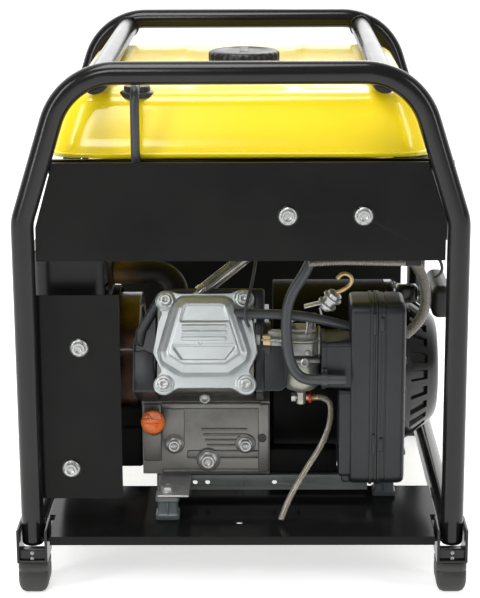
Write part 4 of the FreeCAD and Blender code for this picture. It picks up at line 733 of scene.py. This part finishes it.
def fuel_tank():
    """The tank's skin from its pan over its seam to its pressed top, with its neck and roll-over valve."""
    base_x, base_y, base_r = 184, 213, 30
    levels = [(base_x - inset, base_y - inset + 12, base_r, z)
              for inset, z in ((34, 404), (34, 406), (33, 428), (30, 433.8))]
    levels += [(base_x + out, base_y + out + 1.5, base_r + out, z) for out, z in (
        (3.6, 434.0), (4.0, 434.6), (4.0, 437.4), (3.4, 438.0), (0.8, 438.4), (0.0, 439.6))]
    draft = math.radians(17)
    seam, top, fillet = 439.6, 492.6, 16
    for step in range(1, 8):
        z = seam + (top - fillet * 0.72 - seam) * step / 7
        inset = math.tan(draft) * (z - seam)
        levels.append((base_x - inset, base_y - inset, base_r, z))
    for step in range(1, 9):
        share = math.radians(73) * step / 8
        run = fillet * (math.cos(draft) - math.cos(draft + share))
        rise = fillet * (math.sin(draft + share) - math.sin(draft))
        levels.append((base_x - inset - run, base_y - inset - run, base_r - run * 0.5, z + rise))
    rings = [divided(rounded_rectangle(*level), 9) for level in levels]
    count = len(rings[-1])
    rim = divided_to(rings[-1], count)
    outlines = [moved(divided_to(points, count)) for points in rings]
    for step in range(1, 40):
        share = 1 - step / 40
        outlines.append(moved([(p[0] * share, p[1] * share, p[2] + tank_lift(p[0] * share, p[1] * share)
                                * smoothstep(1.0, 0.93, share)) for p in rim]))
    piece = loft("tank_shell", outlines)
    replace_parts(piece, "fuel_tank")
    dress(piece, "tank_yellow")
    lathe("tank_neck", [(27, 490), (27, 500.5), (28.5, 501), (28.5, 502), (22, 502), (22, 470)], at(2, 0, 0),
          "zinc")
    lathe("rollover_valve", [(17, 488), (17, 492), (15.5, 493.5), (13, 494), (13, 497.5), (12, 498.6),
                             (5, 499), (0.1, 499)], at(-100, -184, 0), "cap_black")


def fuel_cap():
    """A ribbed screw cap with a domed top."""
    profile = [(36.5, 496.6, 0), (37.6, 497.2, 1), (37.8, 506.5, 1), (36.6, 508.8, 0.6), (34, 510, 0),
               (25, 510.8, 0), (23.5, 509.8, 0), (12, 509.6, 0), (0.2, 509.6, 0)]
    piece = loft("cap_shell", grooved(profile, 144, 0.9, 6, (0, 1)), 40, at(2, 0, 0))
    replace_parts(piece, "fuel_cap")
    dress(piece, "cap_black", body="filler_cap")
    box("cap_grip", (-2.5, -22, 509), (6.5, 22, 510.95), 0.8, "cap_black", body="filler_cap")


# ---------------------------------------------------------------- hoses and leads

def hoses():
    drain = wire("drain_hose", DRAIN_ROUTE, 3.0)
    dress(drain, "clear_tube")
    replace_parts(drain, "drain_tube")
    for name, route, radius, node in (("breather_tube", BREATHER_ROUTE, 5.0, "breather_hose"),
                                      ("purge_tube", PURGE_ROUTE, 5.4, "vapour_hoses"),
                                      ("vent_tube", VENT_ROUTE, 4.4, "vapour_hoses")):
        tube = wire(name, route, radius)
        dress(tube, "hose_rubber")
        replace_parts(tube, node)
    for name, route, radius in (("sill_sleeve", SILL_ROUTE, 3.4), ("drop_sleeve", DROP_ROUTE, 5.6)):
        sleeve = corrugated(name, route, radius)
        dress(sleeve, "loom_sleeve")
        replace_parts(sleeve, "wiring_looms")
    clamp("purge_clamp", (82, -219, 211), (1, 0, 0), 5.4, "hose_rubber")


# ---------------------------------------------------------------- stage

def stage():
    """A white floor, a sky that is dim in front and bright behind, and five soft lamps."""
    reach = 30
    floor_data = bpy.data.meshes.new("floor")
    floor_data.from_pydata([(-reach, -reach, 0), (reach, -reach, 0), (reach, reach, 0), (-reach, reach, 0)],
                           [],
                           [(0, 1, 2, 3)])
    floor = linked("floor", floor_data)
    white = Look("floor_white", (0.93, 0.93, 0.925), 0.7, specular=0.1)
    white.shader.inputs["Emission Color"].default_value = (1, 1, 0.995, 1)
    white.shader.inputs["Emission Strength"].default_value = 0.62
    floor_data.materials.append(white.material)
    world = bpy.data.worlds.new("studio")
    bpy.context.scene.world = world
    world.use_nodes = True
    tree = world.node_tree
    place = add_node(tree, "TexCoord", {}).outputs["Generated"]
    depth = add_node(tree, "SeparateXYZ", {"Vector": place}).outputs["Y"]
    sweep = add_node(tree, "MapRange", {"Value": depth, "From Min": 0.1, "From Max": 0.95, "To Min": 0.24,
                                        "To Max": 2.0})
    background = tree.nodes["Background"]
    tree.links.new(sweep.outputs["Result"], background.inputs["Strength"])
    background.inputs["Color"].default_value = (1, 1, 1, 1)
    for name, place, size, power in (("top", (-0.25, -0.45, 2.0), (0.9, 0.9), 21),
                                     ("left_strip", (-1.5, -1.3, 1.0), (0.3, 1.4), 13),
                                     ("right_strip", (1.6, -1.1, 1.1), (0.3, 1.4), 9),
                                     ("front", (-0.5, -2.1, 1.7), (0.6, 0.6), 11),
                                     ("rear", (0.5, 1.8, 1.6), (0.9, 0.5), 8)):
        data = bpy.data.lights.new(name, "AREA")
        data.shape = "RECTANGLE"
        data.size, data.size_y = size
        data.energy = power
        lamp = linked(name, data)
        lamp.location = place
        aim = Vector((0, 0, 0.25)) - Vector(place)
        lamp.rotation_euler = aim.to_track_quat("-Z", "Y").to_euler()


def camera():
    """A long lens, a little above the tank, looking at the valve cover's side."""
    focal_px, frame_height_px = 1857.94, 598
    place = Vector((0.0205, -1.97533, 0.75239))
    yaw, pitch, roll = (math.radians(angle) for angle in (-0.7026, 14.6301, -0.3209))
    ahead = Vector((math.sin(yaw) * math.cos(pitch), math.cos(yaw) * math.cos(pitch), -math.sin(pitch)))
    flat_right = Vector((math.cos(yaw), -math.sin(yaw), 0))
    flat_up = flat_right.cross(ahead)
    right = flat_right * math.cos(roll) + flat_up * math.sin(roll)
    up = flat_up * math.cos(roll) - flat_right * math.sin(roll)
    data = bpy.data.cameras.new("camera")
    data.sensor_fit = "VERTICAL"
    data.sensor_height = 36
    data.lens = focal_px / frame_height_px * 36
    data.clip_end = 100
    eye = linked("camera", data)
    eye.matrix_world = Matrix((
        (right.x, up.x, -ahead.x, place.x), (right.y, up.y, -ahead.y, place.y),
        (right.z, up.z, -ahead.z, place.z),
        (0, 0, 0, 1)))
    bpy.context.scene.camera = eye
    bpy.context.scene.view_settings.view_transform = "Standard"


# ---------------------------------------------------------------- air box

def shell_along_x(name, low, high, corner, stations):
    """A shell of rounded rectangles in YZ at (x, inset) stations, with both ends closed, in mm."""
    middle_y, middle_z = (high[0] + low[0]) / 2, (high[1] + low[1]) / 2
    outlines = []
    for x, inset in stations:
        half_y, half_z = (high[0] - low[0]) / 2 - inset, (high[1] - low[1]) / 2 - inset
        points = rounded_rectangle(half_y, half_z, max(1.0, corner - inset), 0, 8)
        outlines.append([(x * MM, (middle_y + p[0]) * MM, (middle_z + p[1]) * MM) for p in points])
    return loft(name, outlines, 40, recalculate=True)


def air_box():
    """The base with its duct, foot and clips, and the cover with its ribs and hooks."""
    low, high = (-211, 97), (-152, 286)
    lip = -1.3
    base = shell_along_x("air_base", low, high, 11, [
        (108, 4), (108.4, 1.8), (110, 0.4), (112, 0), (127.2, 0), (127.5, lip), (130.2, lip), (130.5, 0),
        (132.4, 0), (132.7, lip), (134.4, lip), (134.6, lip + 0.3), (134.6, 2.5), (111.5, 2.5), (110.8, 4)])
    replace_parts(base, "air_box_base")
    dress(base, "air_box_plastic")
    web = shell_along_x("air_web", (-208, 105), (-154, 197), 5, [(97, 2), (97.6, 0.6), (99, 0), (108.6, 0)])
    dress(web, "air_box_plastic")
    box("air_toe", (100, -206, 98.5), (109, -156, 108), 2.5, "air_box_plastic")
    duct = shell_along_x("air_duct", (-209, 197), (-154, 247), 6, [
        (79.6, 1.2), (79.8, 0), (83.6, 0), (84, 1.2), (86, 1.2), (106, 0), (108.6, 0)])
    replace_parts(duct, "intake_duct")
    dress(duct, "air_box_plastic")
    cover = shell_along_x("air_cover", low, high, 11, [
        (135.2, 2.5), (135.0, lip + 0.3), (135.2, lip), (137.6, lip), (137.9, 0), (141.6, 0), (141.9, 0.8),
        (143.2, 0.8), (143.5, 0), (157, 0), (160, 0.9), (162, 2.8), (162.8, 5.5), (163, 9)])
    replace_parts(cover, "air_box_cover")
    dress(cover, "air_box_plastic", body="air_cover")
    for index, z in enumerate((130, 255)):
        box("air_clip_%d" % index, (129.6, -213.6, z), (133.2, -211.6, z + 22), 0.8, "air_box_plastic")
        box("air_hook_%d" % index, (136, -213.2, z + 4), (141, -211.4, z + 18), 0.8, "air_box_plastic",
            body="air_cover")
    for index, z in enumerate((128, 160, 192, 224, 256)):
        box("air_rib_%d" % index, (162.2, -200, z - 2.5), (164.6, -163, z + 2.5), 1.1, "air_box_plastic",
            body="air_cover")


# ---------------------------------------------------------------- feet, bolts and welds

CORNERS = [(side, depth) for side in (-1, 1) for depth in (-1, 1)]


def feet():
    """Moulded feet with a waist groove and a worn, rounded sole."""
    depth_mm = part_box("rubber_feet")[1][1] / MM - 20
    for index, (side, depth) in enumerate(((1, 1), (-1, 1), (-1, -1), (1, -1))):
        outlines = [moved(rounded_rectangle(15.2 - inset, 20 - inset, 8 - min(inset, 5), z, 8), side * 208.2,
                          depth * depth_mm) for inset, z in (
            (9, 0.2), (6, 0.9), (3.2, 2.8), (1.3, 6), (0.3, 10), (0.1, 14), (0.1, 22), (0.9, 23), (0.9, 24.2),
            (0.1, 25.2), (0.2, 30), (1.4, 32.4), (4, 32.9))]
        foot = loft("foot_%d" % index, outlines)
        if index == 0:
            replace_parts(foot, "rubber_feet")
        dress(foot, "foot_rubber")


def corner_box(name, side, depth, x, y, z, radius_mm, slot_name):
    """A box at one corner of the frame, from its ranges of distance from the middle."""
    across, along = sorted(side * c for c in x), sorted(depth * c for c in y)
    box(name, (across[0], along[0], z[0]), (across[1], along[1], z[1]), radius_mm, slot_name)


def foot_fittings():
    """At each corner: the tube's closed end, the bracket's web with two screws, and a tongue to the tray."""
    for side, depth in CORNERS:
        tag = "%d_%d" % (side + 1, depth + 1)
        lathe("tube_end_" + tag, [(6, 47.4), (9.6, 47.8), (10.8, 49.4), (11.1, 52), (11.1, 88), (6, 88.4)],
              at(side * 209, depth * 238.9, 0), "frame_black")
        corner_box("bracket_web_" + tag, side, depth, (194, 222.6), (253.2, 256), (34.5, 47), 1.2,
                   "frame_black")
        for index, z in enumerate((38, 43.5)):
            screw("bracket_screw_%s_%d" % (tag, index), (side * 208.3, depth * 255.9, z), (0, depth, 0), 2.0)
        corner_box("tray_tongue_" + tag, side, depth, (189.5, 200), (188, 249.5), (52.5, 55.8), 1.0,
                   "plate_black")


def frame_bolts():
    heads = [("plate_bolt_a", 45.4, -241, 381), ("plate_bolt_b", 117.7, -241, 381),
             ("shield_bolt_a", -159, -228, 247), ("shield_bolt_b", -170, -228, 122)]
    for index, (name, x, y, z) in enumerate(heads):
        bolt = hex_bolt(name, (x, y, z), (0, -1, 0), 12, 6.2, 8.6, dish=2.4)
        if index == 0:
            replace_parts(bolt, "bolts")
        lathe(name + "_washer", [(9.9, -1.2), (9.9, -0.35), (9.3, 0.05)], facing((x, y, z), (0, -1, 0)),
              "frame_black")


def weld(name, centre, axis, radius_mm):
    """A rippled weld bead round a tube's end."""
    along = Vector(axis)
    across = along.orthogonal().normalized()
    up = along.cross(across)
    places = []
    for angle in angles(28):
        size = radius_mm + rng.uniform(-0.25, 0.35)
        places.append(Vector(centre) + (across * math.cos(angle) + up * math.sin(angle)) * size
                      + along * rng.uniform(-0.3, 0.3))
    dress(wire(name, places, 1.5, cyclic=True), "frame_black")


def welds():
    for side, depth in CORNERS:
        weld("rail_weld_%d_%d" % (side + 1, depth + 1), (side * 137, depth * 228.4, 509.5), (0, depth, 0),
             11.4)


# ---------------------------------------------------------------- engine

def engine_castings():
    """The crankcase with its ribs, bosses and joint line, over the CAD casting."""
    forward = (0, -1, 0)
    soften("crankcase", 2.2, 3)
    for index, (left, right, z) in enumerate(((-43, 5, 135), (-41, 4, 129), (-39, 1, 123), (-37, -2, 117.5))):
        box("case_rib_%d" % index, (left, -145.8, z - 1.1), (right, -143, z + 1.1), 1.0, "cast_aluminium")
    for name, low, high in (("case_end_flange", (16, -146.5, 88), (27.6, -142, 163)),
                            ("case_ledge", (-58, -146.2, 103), (17, -142, 112)),
                            ("case_foot", (-84, -146, 87), (26, -142, 91.5)),
                            ("case_brow", (-84, -146.2, 157), (20, -142, 164.2)),
                            ("case_column", (-103, -145.6, 100), (-84, -142, 163)),
                            ("case_step", (-84, -145.2, 122), (-60, -142, 158))):
        box(name, low, high, 1.8, "cast_aluminium")
    for index, (x, z) in enumerate(((-71, 119), (3, 119))):
        lathe("case_boss_%d" % index, [(11, 0), (10.4, 2.6), (9.4, 3.2), (0.2, 3.2)],
              facing((x, -143.5, z), forward),
              "cast_aluminium", count=40)
        hex_bolt("case_bolt_%d" % index, (x, -146.7, z), forward, 11, 6.5, 8, dish=1.6)
    lathe("drain_boss", [(12.5, 0), (12, 3.4), (11, 4.2), (0.2, 4.2)], facing((-36, -143.5, 102), forward),
          "cast_aluminium")
    hex_bolt("drain_plug", (-36, -147.6, 102), forward, 13, 7, 9.6, dish=2.6)
    hex_bolt("under_cover_bolt", (-38.6, -153.5, 171.5), (0, -1, 0.15), 8.4, 5.5, 5.4)
    for name, low, high in (("engine_foot_right", (27, -143, 86), (98, -121, 112)),
                            ("engine_foot_left", (-150, -140, 92), (-104, -128, 136)),
                            ("adapter_rib", (26, -118, 108), (35, -100, 172)),
                            ("alternator_ear", (-128, -141, 136), (-103, -130, 158))):
        # Black parts deep inside: black paint darkened further as painted shade.
        box(name, low, high, 3, "recoil_black", SHADE_BLACK)
    lathe("case_window", [(4.6, 0), (4.6, 0.5), (3.8, 0.6), (3.6, -2.0), (0.1, -2.0)],
          facing((20.2, -146.6, 126), forward), "cap_black", count=32)


def dipstick():
    """The orange oil cap: a knurled rim and a raised bar across its face."""
    seat = LEAN @ (Vector((-92, -71.3, 79.4)) * MM)
    turn = facing(seat / MM, LEAN_AXIS)
    profile = [(9, 0, 0), (11.6, 0.5, 1), (12.2, 2, 1), (12.2, 10, 1), (11.2, 11.6, 0.4), (9.6, 11.9, 0),
               (8.8, 10.9, 0), (0.2, 10.9, 0)]
    cap = loft("oil_cap", grooved(profile, 120, 0.7, 5, (0,)), 40, turn)
    dress(cap, "dipstick_orange", body="dipstick")
    bar = box("oil_cap_bar", (-9.2, -1.9, 10.4), (9.2, 1.9, 13.4), 1.3, "dipstick_orange", body="dipstick")
    bar.data.transform(turn @ Matrix.Rotation(math.radians(-52), 4, "Z"))
    soften("oil_dipstick", 0.6, 2)


def prism(name, corners, low, high, edge_mm):
    """A flat piece in the cylinder's frame from its corners, between two heights, with rounded edges."""
    outlines = [[(x * MM, y * MM, z * MM) for x, y in corners] for z in (low, high)]
    piece = loft(name, outlines, 30, LEAN, recalculate=True)
    round_edges(piece, edge_mm, 4, False)
    return dress(smooth(piece, 40), "shroud_grey")


def shroud():
    """The sheet air guide round the barrel, its folded strip on the left and flared skirt on the right."""
    outline = [(-109, -49), (-109, 4), (-104, 14), (-82, 53), (-76, 57), (23, 57), (23, -49)]
    guide = prism("air_guide", outline, 84, 150, 3.5)
    opening = rounded_box("air_guide_opening", (-86.5, -70, 60), (14.5, 46, 170), 3)
    opening.data.transform(LEAN)
    cut = guide.modifiers.new("opening", "BOOLEAN")
    cut.object = opening
    cut.operation = "DIFFERENCE"
    cut.solver = "EXACT"
    apply_modifiers(guide)
    dress(smooth(guide, 35), "shroud_grey")
    bpy.data.objects.remove(opening)
    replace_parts(guide, "cylinder_shroud")
    prism("air_strip", [(-78, 54), (-84, 52), (-106, 13), (-107, 0), (-99, -3), (-96, 12), (-78, 43)], 149,
          154.5, 2.2)
    prism("air_cheek", [(-108, -8), (-98, -6), (-88, -10), (-86, -47), (-94, -48.5), (-104, -44),
                        (-108, -34)],
          149, 152, 1.4)
    prism("air_skirt", [(16, 22), (22, 25), (38, 0), (45, -14), (45, -42), (39, -47), (16, -47)], 143, 146.5,
          1.5)


def spark_sleeve():
    """The bright slotted sleeve that screens the spark plug's cap."""
    profile = [(6.9, -24, 0), (7.6, -23.4, 0), (7.6, -19, 0), (6.9, -18.4, 0), (6.8, -15, 0), (6.8, -13.5, 1),
               (6.8, 30, 1), (6.8, 31.5, 0), (6.6, 46, 0), (5.8, 48, 0), (3, 48.6, 0)]
    sleeve = loft("plug_sleeve", grooved(profile, 96, 1.4, 16, range(5, 11)), 40,
                  facing((-24, -158, 299), (39, 10, 29)))
    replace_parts(sleeve, "spark_plug_cap")
    dress(sleeve, "grip_plastic", CHROME)


# ---------------------------------------------------------------- carburettor

def carburettor():
    """Body, flanges, linkage rods, springs and screws, in place of the plain CAD casting."""
    parts = [box(name, low, high, radius, "cast_aluminium", CARB_ALLOY) for name, low, high, radius in (
        ("carb_body", (41, -184, 222), (77, -152, 249.5), 5.5),
        ("carb_seat", (39.5, -188, 218.8), (79, -149, 222.8), 1.5),
        ("carb_bridge", (46, -187, 226), (72, -183, 240), 1.6),
        ("carb_lid", (43, -180, 248.5), (75, -156, 252.4), 1.5),
        ("carb_ear", (26, -186, 236), (40, -181.5, 252), 1.6))]
    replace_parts(parts[0], "carburettor")
    bore, nipple, bowl_axis = along_x(CARB_Y, CARB_Z), along_x(CARB_Y, NIPPLE_Z), at(60, CARB_Y, 0)
    for name, profile, slot_name, look in (
            ("carb_throat", [(13, 12.6), (13.6, 12.8), (14, 41.5), (12, 42)], "cast_aluminium", CARB_ALLOY),
            ("carb_insulator", [(12, 20), (21, 20.3), (21.5, 21), (21.5, 28.5), (21, 29.2), (12, 29.4)],
             "grip_plastic", None),
            ("carb_flange", [(10, 12.6), (20, 12.8), (20.8, 13.4), (20.8, 18.4), (20, 19), (12, 19.2)],
             "cast_aluminium", CARB_ALLOY),
            ("carb_mouth", [(12, 76), (16.5, 76.2), (17.5, 76.8), (17.5, 78.4), (16.8, 79), (11, 79)],
             "cast_aluminium", CARB_ALLOY)):
        lathe(name, profile, bore, slot_name, look, 56)
    bowl = lathe("bowl_shell", [(0.3, 186), (9, 186), (14.5, 187.6), (17.6, 191), (18.6, 196), (18.9, 213),
                                (19.4, 214), (20.4, 214.4), (20.4, 217.4), (19.6, 218.6), (17, 218.9),
                                (0.3, 218.9)],
                 bowl_axis, "bowl_metal", count=64)
    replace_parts(bowl, "float_bowl")
    lathe("bowl_boss", [(0.3, 170), (3.6, 170), (4.8, 171), (5, 176), (5, 183), (6.4, 184), (7.4, 186.6),
                        (0.3, 187)],
          bowl_axis, "bowl_metal", CHROME, 40)
    lathe("bowl_seal", [(3.2, 67.2), (5.6, 67.4), (5.8, 68), (5.8, 70), (5.4, 70.6), (3.2, 70.8)], nipple,
          "button_red", RED_SEAL, 32)
    lathe("bowl_nipple", [(2.2, 64.8), (3.2, 65), (3.2, 67), (3.9, 68.4), (3.2, 70), (3.2, 71), (3.9, 72.4),
                          (3.2, 74), (3.3, 77), (2, 77.2)], nipple, "bowl_metal", BRASS, 32)
    box("idle_block", (20.5, -190, 238), (29.5, -182, 248.5), 1.2, "zinc", BRASS)
    governor = [(20, -189, 244), (38, -190, 243.4), (58, -190, 241.8), (72, -189, 241.6), (77, -187, 243)]
    dress(wire("governor_rod", governor, 1.5), "zinc", CHROME)
    dress(wire("choke_rod", [(64, -188, 250), (66, -189.6, 260), (64, -190, 268), (52, -190, 271)], 0.9),
          "zinc")
    coil_spring("idle_spring", (30, -189.6, 243.8), (41, -189.8, 243.2), 2.7, 0.7, 8)
    coil_spring("governor_spring", (68, -188.4, 246), (68.6, -187, 259), 2.2, 0.6, 9)
    for index, (place, direction) in enumerate((((48, -187.2, 233), (0, -1, 0)),
                                                ((66, -187.2, 230), (0, -1, 0)),
                                                ((52, -168, 252.6), (0, 0, 1)),
                                                ((70, -160, 252.6), (0, 0, 1)),
                                                ((66, -176, 252.6), (0, 0, 1)))):
        screw("carb_screw_%d" % index, place, direction, 2.7)
    lathe("carb_socket", [(4.6, 0), (4.4, 1.6), (3.4, 2.2), (2.4, 2.0), (2.2, 0.6), (0.1, 0.6)],
          facing((63.5, -187, 219.6), (0, -1, 0.1)), "zinc", count=36)


def throttle_stand():
    """The valve over the carburettor: a barrel with washers, a leaf bracket and a curled brass pipe."""
    lathe("valve_barrel", [(0.3, -10), (6, -10), (6.6, -9), (6.6, -6), (9.6, -5.6), (9.6, -3.6), (7.2, -3.2),
                           (7.2, 3), (9.8, 3.4), (9.8, 5.2), (7.6, 5.8), (7.2, 9.4), (5, 10.2), (0.3, 10.4)],
          facing((88, -188, 284), (0.55, -0.2, 0.75)), "zinc")
    pipe = [(94, -189, 292), (103, -191, 296), (110, -191, 303), (108, -191, 311), (99, -191, 313),
            (95, -191, 307)]
    dress(wire("valve_pipe", pipe, 2.1), "zinc", BRASS)
    leaf = box("valve_leaf", (62, -190, 278.5), (84, -178, 280.4), 0.8, "zinc")
    leaf.data.transform(at(73, -184, 279.4) @ Matrix.Rotation(math.radians(-14), 4, "Y") @ at(-73, 184,
                                                                                              -279.4))
    dress(wire("valve_stem", [(78, -186, 276), (80, -186.4, 270), (80.4, -186.6, 262)], 1.3), "zinc")


# ---------------------------------------------------------------- recoil starter and muffler

def recoil_cover():
    """The starter's dished cover with cooling slots pressed round its flank."""
    stations = [(93, 150.4, 0), (93, 158, 0), (92.4, 159.6, 0), (90.6, 160.4, 0), (83, 166.6, 0),
                (80.2, 170.4, 0), (79, 173, 0), (77.6, 175, 0), (77.1, 176, 1), (74, 180, 1),
                (69.4, 186.2, 1), (64.6, 192.4, 1), (63.8, 193.4, 0), (60, 198, 0), (57.6, 200.6, 0),
                (54, 203.4, 0), (51, 205.2, 0), (48, 206, 0),
                (30, 206, 0), (28.6, 204.6, 0), (16, 204.4, 0), (14.6, 205.8, 0), (0.3, 205.9, 0)]
    z_to_x = Matrix(((0, 0, 1, 0), (1, 0, 0, 0), (0, 1, 0, 0), (0, 0, 0, 1)))
    cover = loft("recoil_dome", grooved(stations, 288, 2.55, 12, range(3, 9), 0.65 / 0.75), 42,
                 at(*CRANK) @ z_to_x, recalculate=True)
    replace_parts(cover, "recoil_cover")
    dress(cover, "recoil_black")
    box("rope_guide", (160, -106, 259), (182, -88, 277), 3, "recoil_black")
    lathe("rope_eye", [(3.4, 181), (6.4, 181.2), (7.2, 182), (6.6, 183), (4.4, 183.2), (3.4, 182.4)],
          along_x(ROPE_Y, ROPE_Z), "zinc", count=40)
    for index in range(3):
        angle = math.radians(90 + 120 * index)
        place = (160.6, CRANK.y + 88 * math.cos(angle), CRANK.z + 88 * math.sin(angle))
        hex_bolt("recoil_bolt_%d" % index, place, (1, 0, 0), 8, 4.5, 5.6)


def starter_rope():
    """The braided rope, from the guide out to the grip."""
    near_x, far_x, steps = 158.5, 194, 60
    outlines = []
    for step in range(steps + 1):
        x = near_x + step * (far_x - near_x) / steps
        outline = []
        for angle in angles(24):
            size = 2.3 + 0.16 * math.sin(4 * angle + step * 0.9) * math.sin(4 * angle - step * 0.9)
            outline.append((x * MM, (ROPE_Y + size * math.cos(angle)) * MM,
                            (ROPE_Z + size * math.sin(angle)) * MM))
        outlines.append(outline)
    rope = loft("pull_rope", outlines, 60)
    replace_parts(rope, "starter_rope")
    rope.data.materials.append(LOOKS["rope_fabric"])
    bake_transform(rope)


def dark_housings():
    """The housings deep inside keep their CAD shape and take a near-black coat with almost no gloss: black
    paint darkened further as painted shade.
    """
    for name in ("blower_housing", "alternator_housing"):
        dress(soften(name, 1.2, 3), "recoil_black", SHADE_BLACK)


def muffler():
    """The CAD muffler with three rolled beads round it."""
    soften("muffler", 1.4, 3)
    for index, y in enumerate((-140, -60, 20)):
        outlines = []
        for shift, grow in ((-4.5, -0.3), (-2.6, 1.0), (0, 1.5), (2.6, 1.0), (4.5, -0.3)):
            outline = rounded_rectangle(38 + grow, 27 + grow, 20 + grow, 0, 10)
            outlines.append([((-169 + p[0]) * MM, (y + shift) * MM, (311 + p[1]) * MM) for p in outline])
        dress(loft("muffler_bead_%d" % index, outlines, 60, recalculate=True, capped=False), "muffler_black")


# ---------------------------------------------------------------- control panel

def on_panel(piece, turn=None):
    """Moves a piece made round the panel's own origin to its place on the machine."""
    if turn is not None:
        piece.data.transform(turn)
    piece.data.transform(PANEL)


def panel_details():
    """Generic sockets, ticks and screws on the panel's face, without lettering."""
    for name, low_y in (("outlet_a", 5), ("outlet_b", 58)):
        middle = low_y + 17
        for half, z in enumerate((24, 58)):
            for index, (y, wide, tall) in enumerate(((-6.2, 2.0, 8.0), (6.2, 2.0, 9.4))):
                on_panel(box("%s_slot_%d_%d" % (name, half, index),
                             (0.3, middle + y - wide / 2, z - tall / 2),
                             (0.75, middle + y + wide / 2, z + tall / 2), 0.2, "cap_black", segments=1))
            on_panel(lathe("%s_ground_%d" % (name, half), [(2.5, 0.2), (2.5, 0.7), (1.6, 0.8), (0.1, 0.5)],
                           along_x(middle, z - 10), "cap_black", count=24))
            on_panel(box("%s_ridge_%d" % (name, half), (0.2, low_y + 3.5, z - 15.5),
                         (0.7, low_y + 30.5, z + 13.5),
                         0.2, "panel_plastic", segments=1))
    for index in range(3):
        on_panel(box("round_slot_%d" % index, (0.3, -1.2, 8.5), (0.8, 1.2, 14.5), 0.2, "cap_black",
                     segments=1),
                 at(0, 130, 41) @ Matrix.Rotation(math.radians(90 + 120 * index), 4, "X"))
    for index in range(7):
        on_panel(box("dial_tick_%d" % index, (0.0, -0.5, 23), (0.35, 0.5, 27), 0.15, "zinc", segments=1),
                 at(0, -82, 41) @ Matrix.Rotation(math.radians(-60 + 30 * index), 4, "X"))
    for index, (y, z) in enumerate(((-157, 8), (-157, 76), (157, 8), (157, 76), (0, 79))):
        place = PANEL @ (Vector((0.1, y, z)) * MM)
        screw("panel_screw_%d" % index, place / MM, PANEL.to_3x3() @ Vector((1, 0, 0)), 3.4)


def wiring():
    """Connectors where the looms end, and two thin leads."""
    box("blue_plug", (178, -150, 318), (186, -142, 330), 1.2, "panel_plastic", BLUE_PLUG)
    box("loom_joint", (160, -216, 325.5), (176, -205, 334), 1.6, "panel_plastic")
    for name, route in (
            ("ignition_lead", [(16, -150, 330), (12, -176, 304), (6, -193, 286), (2, -204, 270),
                               (8, -207, 262)]),
            ("earth_lead", [(196, -146, 322), (203, -148, 312), (202, -148, 300), (194, -147, 296)])):
        dress(wire(name, route, 1.6), "hose_rubber")


def tank_sills():
    """Black angle bars under the tank's rim, between the cross plates: dark fill put there as painted shade
    under the tank.
    """
    box("tank_sill_front", (-186, -213, 417), (186, -206, 431), 1.6, "plate_black")
    box("tank_sill_rear", (-186, 206, 417), (186, 213, 431), 1.6, "plate_black")


def rubber_mounts():
    """Square rubber blocks with a lip, a waist and a seam, each under a plated strap and its bolt."""
    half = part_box("rubber_mounts")[1][0] / MM - 152
    for index, (x, y) in enumerate(((-76, -194), (148, -126), (-112, 181), (152, 181))):
        outlines = [moved(rounded_rectangle(half - inset, half - inset, 3.2, z, 6), x, y) for inset, z in (
            (0.4, 58.2), (0, 58.8), (0, 63), (1.6, 64.4), (1.8, 66), (1.8, 76.6), (1.4, 77.6), (0, 78.4),
            (0, 82.2), (0.7, 82.95))]
        block = loft("mount_block_%d" % index, outlines)
        if index == 0:
            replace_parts(block, "rubber_mounts")
        dress(block, "mount_rubber")
        box("mount_seam_%d" % index, (x - 0.7, y - half - 0.1, 65), (x + 0.7, y - half + 2.4, 77.4), 0.3,
            "mount_rubber", segments=2)
        hex_bolt("strap_bolt_%d" % index, (x, y, 85.6), (0, 0, 1), 10, 6, 7.6)


camera()
stage()
for make in (hoses, valve_cover, fuel_tank, fuel_cap, air_box, feet, foot_fittings, frame_bolts, welds,
             engine_castings, dipstick, shroud, spark_sleeve, carburettor, throttle_stand, recoil_cover,
             starter_rope,
             dark_housings, muffler, panel_details, wiring, tank_sills, rubber_mounts):
    make()
stood_for = {node for piece in bpy.data.objects for node in piece.get("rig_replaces", [])}
for node in frame["nodes"]:
    if node not in stood_for:
        soften(node)
